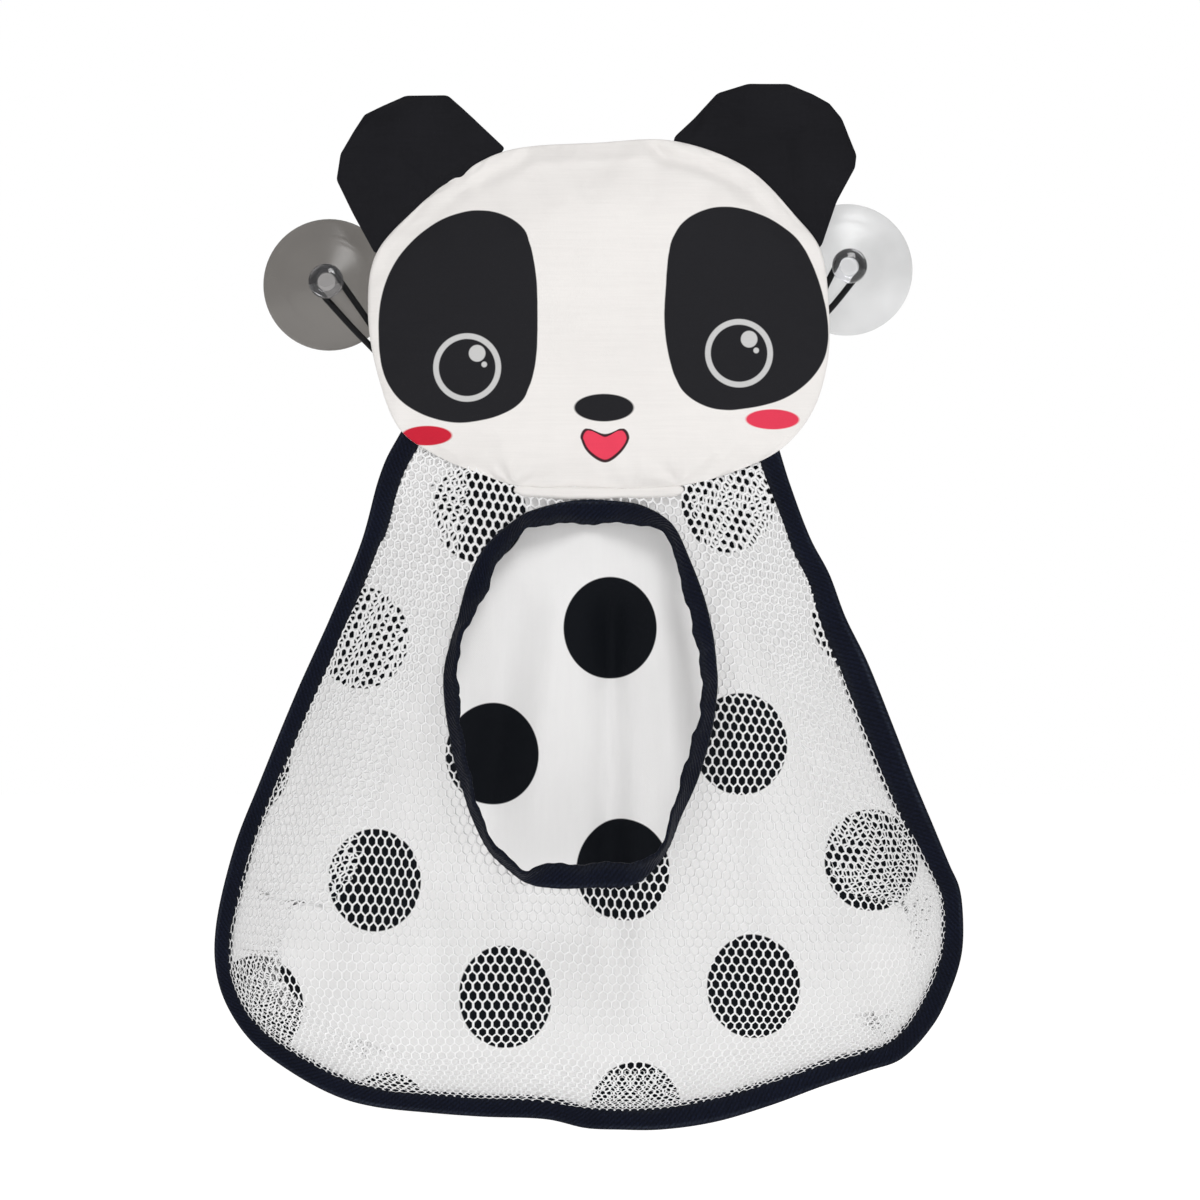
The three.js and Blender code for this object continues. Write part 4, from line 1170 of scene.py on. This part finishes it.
# Hand opening: inner and outer edge of its tape as seen from the front
openingLook = {
    "centre": (-6, -157), "halfThickness": 1.1, "count": 480, "sides": 24, "leastSeen": 1.5, "mostCurl": 6.5,
    "smoothing": 15, "overlap": (-105, -74), "overlapEase": 0.03, "overlapDepth": 0.6, "stitchLift": 0.85,
    # Waves along the tape: height, the length that one radian takes, and phase
    "scallop": (0.45, 17 / (2 * math.pi)), "scallopDrift": (2, 31, 0),
    "fineScallop": (0.15, 6.3 / (2 * math.pi), 0), "puffs": [(0.12, 3.1, 0), (0.1, 5.3, 2)],
    "outer": [
        (-6.4, -84.4), (-22.5, -87.9), (-30.5, -91.9), (-44.6, -106), (-52.6, -133.1), (-56.4, -147.2),
        (-55.1, -167.3), (-49.6, -190.4), (-41.6, -210.4), (-33.5, -219.4), (-25.5, -225.4), (-15.4, -227.6),
        (-4.5, -227.3), (13.7, -226), (23.6, -216.4), (30.8, -201.4), (37.9, -185.3), (42.8, -167.3),
        (44.3, -149.3), (41.9, -129), (35.8, -109.9), (27.8, -93.9), (17.6, -86.9), (7.7, -84.9)],
    "inner": [
        (-2.4, -93.4), (-26, -94.9), (-28.5, -97.9), (-36, -106), (-41.6, -120), (-50.6, -137.1),
        (-50.8, -163.1), (-43.5, -198.4), (-36.5, -212.5), (-25.5, -220.9), (-22.5, -219), (-7.5, -218.5),
        (20, -216), (23.6, -211.9), (28.8, -195.4), (34.9, -174.4), (38.3, -163.1), (38.8, -149.3),
        (36.4, -136.1), (34.3, -126), (30.8, -114), (27.8, -100.9), (21.8, -94.9)],
}
openingAngles = np.linspace(-np.pi, np.pi, openingLook["count"], endpoint=False)
openingOuter, openingInner = (
    radiusAt(smoothCurve(openingLook[edge], 12, True), openingLook["centre"], openingAngles)
    for edge in ("outer", "inner"))
openingRays = np.c_[np.cos(openingAngles), np.sin(openingAngles)]


# Opening tape: sewn to the net at its outer edge; where it is seen narrow, it curls forward by the
# missing width
def openingTape():
    across, through = tapeSection(openingLook["sides"])
    outer = np.array(openingLook["centre"]) + openingOuter[:, None] * openingRays
    run = runAlong(outer, True)
    way = run[:-1]
    drift = waves(way, openingLook["scallopDrift"])
    scallop = waves(way, (*openingLook["scallop"], drift), openingLook["fineScallop"])
    seen = np.maximum(openingOuter - openingInner + scallop, openingLook["leastSeen"])
    curl = np.sqrt(np.maximum(tapeLook["usualWidth"] ** 2 - seen ** 2, 0))
    smoothing = openingLook["smoothing"]
    curl = np.convolve(np.pad(curl, smoothing // 2, "wrap"), bellWeights(smoothing), "valid")
    curl = np.minimum(curl, openingLook["mostCurl"])
    lipY = bagLook["netY"] - fullDepth(outer[:, 1])
    span = np.hypot(seen, curl)
    acrossVector = np.c_[-openingRays[:, 0] * seen, -curl, -openingRays[:, 1] * seen]
    throughVector = np.c_[-openingRays[:, 0] * curl, seen, -openingRays[:, 1] * curl] / span[:, None]
    puff = 1 + waves(way, *openingLook["puffs"])
    base = np.c_[outer[:, 0], lipY, outer[:, 1]]
    low, high = np.radians(openingLook["overlap"])
    ease = openingLook["overlapEase"]
    doubled = easeBetween(openingAngles, low, low + ease)
    doubled = doubled * (1 - easeBetween(openingAngles, high - ease, high))
    thick = openingLook["halfThickness"] * puff + openingLook["overlapDepth"] * doubled
    half = thick[:, None] * tapeFullness(across)
    grid = base[:, None] + across[:, None] * acrossVector[:, None]
    grid = grid - (half * through)[..., None] * throughVector[:, None]
    tape = sweptPiece("openingTape", grid, True, run, sectionRun(across))
    tape.data.materials.append(tapeCloth)
    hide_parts("opening_binding")
    hangOnHead(tape)
    sewn = base + acrossVector * (threadLook["inset"] / tapeLook["usualWidth"])
    lift = (openingLook["halfThickness"] * puff * openingLook["stitchLift"])[:, None] * throughVector
    tapeStitches("openingTapeStitches", [sewn - lift, sewn + lift], True)
    return tape


openingTapePiece = openingTape()
print("opening tape")


# Back panel: a stretched sheet with soft upright folds towards the wall, flat in the tape and under the
# head. Each fold has a place across at half height, a lean, a half width and a depth; creases are finer
# and to either side
panelLook = {
    "centre": (-2.5, -205), "gridCount": 121, "inTape": 3, "tapeEnds": 26, "behindHead": 4, "thickness": 0.7,
    "topZ": -84.1, "middleZ": -202.6, "lastDrop": 206, "fade": 24, "clearOfTape": 9,
    "unevenness": 0.3, "wavelength": 35, "seed": 0.4,
    "folds": [(5.5, 0, 7.5, 7.6), (-41.8, 0.14, 9, 6), (48.1, -0.16, 9, 6.2), (-88.2, 0.3, 11, 4),
              (88.8, -0.3, 11, 4)],
    "creases": [(2, 0.07, 2.6, 1.2), (14, -0.06, 3, -1.2), (-24, 0.12, 4.5, -1.6), (30, -0.1, 4.5, -1.6)],
}
dotLook = {
    "origin": (4.9, -132.4), "step": (93.4, 3.75), "row": (49.1, -43.7), "half": (17.5, 19.2),
    "softness": 0.4, "ink": (0.0022, 0.0034, 0.006, 1), "cloth": (0.89, 0.885, 0.885, 1),
}


# Dotted cloth: a place's steps along the two lattice directions are rounded to find the nearest dot
def dottedCloth():
    cloth = fabric("dottedCloth", {**whiteWeave, "streak": 0.015, "streakScale": (700, 60, 60)})
    tree = cloth["tree"]
    lattice = np.array([dotLook["step"], dotLook["row"]], float).T
    inverse = np.linalg.inv(lattice)
    x = calc(tree, "SUBTRACT", cloth["across"], dotLook["origin"][0] * mm)
    z = calc(tree, "SUBTRACT", cloth["up"], dotLook["origin"][1] * mm)
    rest = []
    for along in inverse / mm:
        steps = calc(tree, "MULTIPLY_ADD", x, along[0], calc(tree, "MULTIPLY", z, along[1]))
        rest.append(calc(tree, "SUBTRACT", steps, calc(tree, "ROUND", steps)))
    dotX, dotZ = (
        calc(tree, "MULTIPLY_ADD", rest[0], line[0], calc(tree, "MULTIPLY", rest[1], line[1]))
        for line in lattice * mm)
    mask = ovalAt(tree, dotX, dotZ, (0, 0), dotLook["half"], dotLook["softness"])
    return dye(cloth, mixColour(tree, mask, dotLook["cloth"], dotLook["ink"]))


# Level of the panel: the tape's level, plus unevenness, folds and creases times a share that falls to
# nothing towards the tape and the head
def backPanel():
    inTape = bagEdge + panelLook["inTape"] * bagNormals
    top = headEdge(headLook["chin"], -panelLook["behindHead"])
    outline = np.vstack([inTape[panelLook["tapeEnds"]:-panelLook["tapeEnds"]], top])
    x, z, _ = discPlaces(outline, panelLook["centre"], panelLook["gridCount"])
    away = distanceFrom(bagEdge, bagNormals, np.stack([x, z], -1).reshape(-1, 2))[0].reshape(x.shape)
    drop = panelLook["topZ"] - z
    fade = panelLook["fade"]
    free = easeBetween(away - panelLook["clearOfTape"], fade / 4, fade) * easeBetween(drop, fade, 2 * fade)
    free = free * easeBetween(panelLook["lastDrop"] - drop, 0, fade)
    depth = panelLook["unevenness"] * ripple(x, z, panelLook["wavelength"], panelLook["seed"])
    depth = depth + swells(x, z, panelLook["middleZ"], panelLook["folds"] + panelLook["creases"])
    y = bagLook["panelY"] + free * depth
    count = panelLook["gridCount"]
    faces = gridFaces(count, count, False, False)[0]
    panel = makePiece("backPanel", np.stack([x, y, z], -1), faces[:, ::-1].tolist())
    cut = panel.modifiers.new("thickness", "SOLIDIFY")
    cut.thickness = panelLook["thickness"] * mm
    cut.offset = 0
    panel.data.materials.append(dottedCloth())
    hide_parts("back_panel")
    hangOnHead(panel)


backPanel()
print("back panel")


# Front net: hexagon mesh laid out flat, then gathered towards the edge tape, where its edge is turned in
# behind it
netLook = {
    "pitch": 3.25, "row": 3.25, "tilt": -0.5, "lean": 0.00075, "leanZ": -290, "thickness": 0.5,
    "holeWidth": 2.4, "holeHeight": 3.85, "holeShoulder": 0.42, "topHole": 0.86,
    "underTape": 2, "behindHead": 3.5, "underOpening": 1.2, "smoothing": 41, "originZ": -200, "halfCount": 75,
    "warp": 1.1, "warpLength": 70, "warpSeeds": (0.9, 2.1), "wave": 0.8, "waveLength": 42, "waveSeed": 1.7,
    # Soft upright swells: place across at the middle level, lean, half width and height
    "swells": [(-62, 0.2, 13, 5), (-30, 0.1, 10, -4), (6, 0.04, 12, 4.6), (30, -0.08, 9, -4.6),
               (62, -0.2, 14, 5), (92, -0.3, 10, -3.4)],
    # Drops below the cups' level and ways from the opening between which swells and holes grow to full size
    "swellZ": -240, "swellDrop": (90, 140), "swellAway": (1, 14), "holeDrop": (90, 200),
    # Turn of the net from the tape to the front: share of its length, way across the turn, and way forward
    "turn": [(0, 0, 0), (0.2, 0.13, 0.22), (0.36, 0.25, 0.404), (0.6, 0.5, 0.713), (0.8, 0.75, 0.917),
             (1, 1, 1)],
    # Width of the edge that is turned in, by share of the way along the tape
    "turnedIn": [(0, 24), (0.06, 34), (0.19, 42), (0.225, 45), (0.24, 42), (0.36, 42), (0.4, 40),
                 (0.62, 36), (0.66, 24), (0.71, 22), (0.735, 26), (0.75, 28), (0.765, 32), (0.78, 36),
                 (0.79, 37), (0.81, 33), (0.82, 29), (0.86, 29), (0.9, 35), (0.95, 36), (1, 24)],
    # How far the turned edge reaches for its length: less where it is gathered along the bottom
    "reach": [(0, 0.92), (0.225, 0.9), (0.24, 0.72), (0.255, 0.52), (0.28, 0.48), (0.32, 0.46),
              (0.36, 0.42), (0.64, 0.44), (0.7, 0.5), (0.735, 0.54), (0.75, 0.58), (0.765, 0.7),
              (0.78, 0.88), (0.79, 0.92), (1, 0.92)],
    "slackDepth": 0.5, "turnedForward": 0.25, "letsThrough": 0.92,
}


# White thread so thin that it lets part of the light through to the panel
def netThread():
    cloth = fabric("netThread", {
        **whiteWeave, "weave": twillWeave, "threads": 5200, "threadHeight": 0.08, "bump": 0.5,
        "valleyShade": 0.1, "roughness": 0.6, "sheen": 0.1, "gloss": 0.3})
    material = dye(cloth, (0.96, 0.96, 0.965, 1))
    tree = cloth["tree"]
    ray = addNode(tree, "LightPath").outputs
    clear = addNode(tree, "BsdfTransparent", {0: (*[netLook["letsThrough"]] * 3, 1)}).outputs[0]
    surface = cloth["shader"].outputs[0]
    for kind in ("Is Shadow Ray", "Is Diffuse Ray"):
        surface = addNode(tree, "MixShader", {0: ray[kind], 1: surface, 2: clear}).outputs[0]
    plug(tree, surface, tree.nodes["Material Output"].inputs["Surface"])
    return material


# Depth of the net: the full depth at that level times the share of the turn, plus the swells that are free
def frontNet():
    pitch, row = netLook["pitch"], netLook["row"]
    edge = bagEdge + (tapeWidths - netLook["underTape"])[:, None] * bagNormals
    beyond = netLook["smoothing"] // 2
    longer = np.pad(edge, ((beyond, beyond), (0, 0)), "edge")
    weights = bellWeights(netLook["smoothing"])
    edge = np.stack([np.convolve(longer[:, k], weights, "valid") for k in (0, 1)], 1)
    inward = leftNormals(edge, False)
    slack = netLook["slackDepth"] * fullDepth(edge[:, 1])
    turnedIn, reach = alongTape(netLook["turnedIn"]), alongTape(netLook["reach"])
    turn = smoothCurve(netLook["turn"], 16, False)
    turnWidth = bagLook["turnWidth"]
    hole = np.array(openingLook["centre"]) + (openingOuter - netLook["underOpening"])[:, None] * openingRays
    tilt = math.radians(netLook["tilt"])
    turned = np.array([[math.cos(tilt), math.sin(tilt)], [-math.sin(tilt), math.cos(tilt)]])
    origin = np.array([bagEdge[:, 0].mean(), netLook["originZ"]])
    unit = np.array([pitch / 4, row / 3])

    # Place of a lattice key on the flat net: rows that lean more the higher they are, with a slow drift
    def flatPlace(key):
        place = origin + (key * unit) @ turned
        drift = netLook["warp"] * np.stack([
            ripple(*place.T, netLook["warpLength"], seed) for seed in netLook["warpSeeds"]], 1)
        drift[:, 1] -= netLook["lean"] * place[:, 0] * (place[:, 1] - netLook["leanZ"])
        return place + drift

    # Length of net from the sewn line becomes a place on the turn, or behind the front where it is
    # turned in; gives the place, the share of the full depth, and the length left to the net's own edge
    def layOut(flat):
        away, nearest = distanceFrom(edge, inward, flat)
        length = away + slack[nearest]
        share = length / (turnWidth + slack[nearest])
        acrossTurn, forward = (np.interp(share, turn[:, 0], turn[:, k]) for k in (1, 2))
        acrossTurn = share + (acrossTurn - share) * slack[nearest] / slack.max()
        front = np.where(share < 1, turnWidth * acrossTurn, away)
        behind = -reach[nearest] * length
        lower = netLook["turnedForward"] * np.interp(behind / turnWidth, turn[:, 1], turn[:, 2])
        target = np.where(length < 0, behind, front)
        place = flat + (target - away)[:, None] * inward[nearest]
        return place, np.where(length < 0, lower, forward), length + turnedIn[nearest]

    # Cells that lie within the net's own edge, below the head and outside the opening
    numbers = np.arange(-netLook["halfCount"], netLook["halfCount"] + 1)
    rows, columns = np.meshgrid(numbers, numbers, indexing="ij")
    keys = np.stack([4 * columns + 2 * (rows % 2), 3 * rows], -1).reshape(-1, 2)
    middle, _, left = layOut(flatPlace(keys))
    kept = left > 0
    kept &= distanceFrom(headOutline, headNormals, middle)[0] > -netLook["behindHead"]
    keys = keys[kept & ~insideOf(hole, middle)]
    # Each cell: six corners shared with its neighbours and six points round its hole
    corners = np.array([(0, 2), (2, 1), (2, -1), (0, -2), (-2, -1), (-2, 1)])
    halfWidth, halfHeight = netLook["holeWidth"] / 2, netLook["holeHeight"] / 2
    shoulder = netLook["holeShoulder"] * halfHeight
    holeShape = np.array([
        (0, halfHeight), (halfWidth, shoulder), (halfWidth, -shoulder),
        (0, -halfHeight), (-halfWidth, -shoulder), (-halfWidth, shoulder)])
    allCorners = (keys[:, None] + corners).reshape(-1, 2)
    cornerKeys, cornerNumbers = np.unique(allCorners, axis=0, return_inverse=True)
    cornerNumbers = cornerNumbers.reshape(-1, 6)
    level = flatPlace(keys)[:, 1]
    wide = netLook["topHole"] + (1 - netLook["topHole"]) * easeBetween(-level, *netLook["holeDrop"])
    holeKeys = (keys[:, None] + wide[:, None, None] * holeShape / unit).reshape(-1, 2)
    flat = flatPlace(np.vstack([cornerKeys, holeKeys]))
    place, forward, _ = layOut(flat)
    depth = fullDepth(place[:, 1]) * forward
    fromCentre = place - np.array(openingLook["centre"])
    ring = radiusAt(hole, openingLook["centre"], np.arctan2(fromCentre[:, 1], fromCentre[:, 0]))
    free = forward * easeBetween(-place[:, 1], *netLook["swellDrop"])
    free = free * easeBetween(np.hypot(*fromCentre.T) - ring, *netLook["swellAway"])
    swell = netLook["wave"] * ripple(*place.T, netLook["waveLength"], netLook["waveSeed"])
    swell = swell + swells(*place.T, netLook["swellZ"], netLook["swells"])
    depth = depth + free * swell
    y = bagLook["netY"] - depth
    count = len(cornerKeys)
    middlePoints = np.c_[place[:, 0], y, place[:, 1]]
    front = middlePoints[:count] - [0, netLook["thickness"] / 2, 0]
    back = middlePoints[:count] + [0, netLook["thickness"] / 2, 0]
    holes = 2 * count + np.arange(6 * len(keys)).reshape(-1, 6)
    following = np.roll(np.arange(6), -1)
    nextCorners, nextHoles = cornerNumbers[:, following], holes[:, following]
    frontFaces = np.stack([cornerNumbers, nextCorners, nextHoles, holes], -1).reshape(-1, 4)
    backFaces = np.stack([holes, nextHoles, nextCorners + count, cornerNumbers + count], -1).reshape(-1, 4)
    # Cell sides without a neighbour get a wall from the front ridge to the back ridge
    sides = np.stack([cornerNumbers, nextCorners], -1).reshape(-1, 2)
    sideNames = sides.min(1) * count + sides.max(1)
    _, firsts, uses = np.unique(sideNames, return_index=True, return_counts=True)
    start, end = sides[firsts[uses == 1]].T
    walls = np.stack([end, start, start + count, end + count], 1)
    faces = np.concatenate([frontFaces, backFaces, walls])
    points = np.vstack([front, back, middlePoints[count:]])
    if volumeOf(points, faces) < 0:
        faces = faces[:, ::-1]
    net = makePiece("frontNet", points, faces.tolist())
    net.data.materials.append(netThread())
    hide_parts("front_net")
    hangOnHead(net)
    print("  net: %d cells, %d triangles" % (len(keys), 2 * len(faces)))


frontNet()
print("front net")


# Tacks that hold the loop ends on the head's back cloth: a few stitches side by side across each cord
tackLook = {"count": 5, "pitch": 0.8, "reach": 4.4, "radius": 0.28, "offCord": 0.02}


# Tacks: even steps from the root along the loop's line, each as far to either side of it
def loopTacks(side):
    route = loopRoutes[side]
    root, along, acrossLine, _ = loopLine(side)
    step = (np.arange(tackLook["count"]) + 0.5) * tackLook["pitch"]
    middle = root + step[:, None] * along
    level = route[0, 1] + loopLook["diameter"] / 2 + tackLook["offCord"]
    starts, ends = (middle + sign * tackLook["reach"] * acrossLine for sign in (-1, 1))
    starts, ends = (np.c_[line[:, 0], np.full(len(line), level), line[:, 1]] for line in (starts, ends))
    outwards = np.tile([0.0, 1.0, 0.0], (len(starts), 1))
    tacks = stitchRow(side + "LoopTacks", starts, ends, outwards, tackLook["radius"])
    tacks.data.materials.append(threadCloth)
    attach(tacks, "head")


for side in ("left", "right"):
    loopTacks(side)
print("loop tacks")
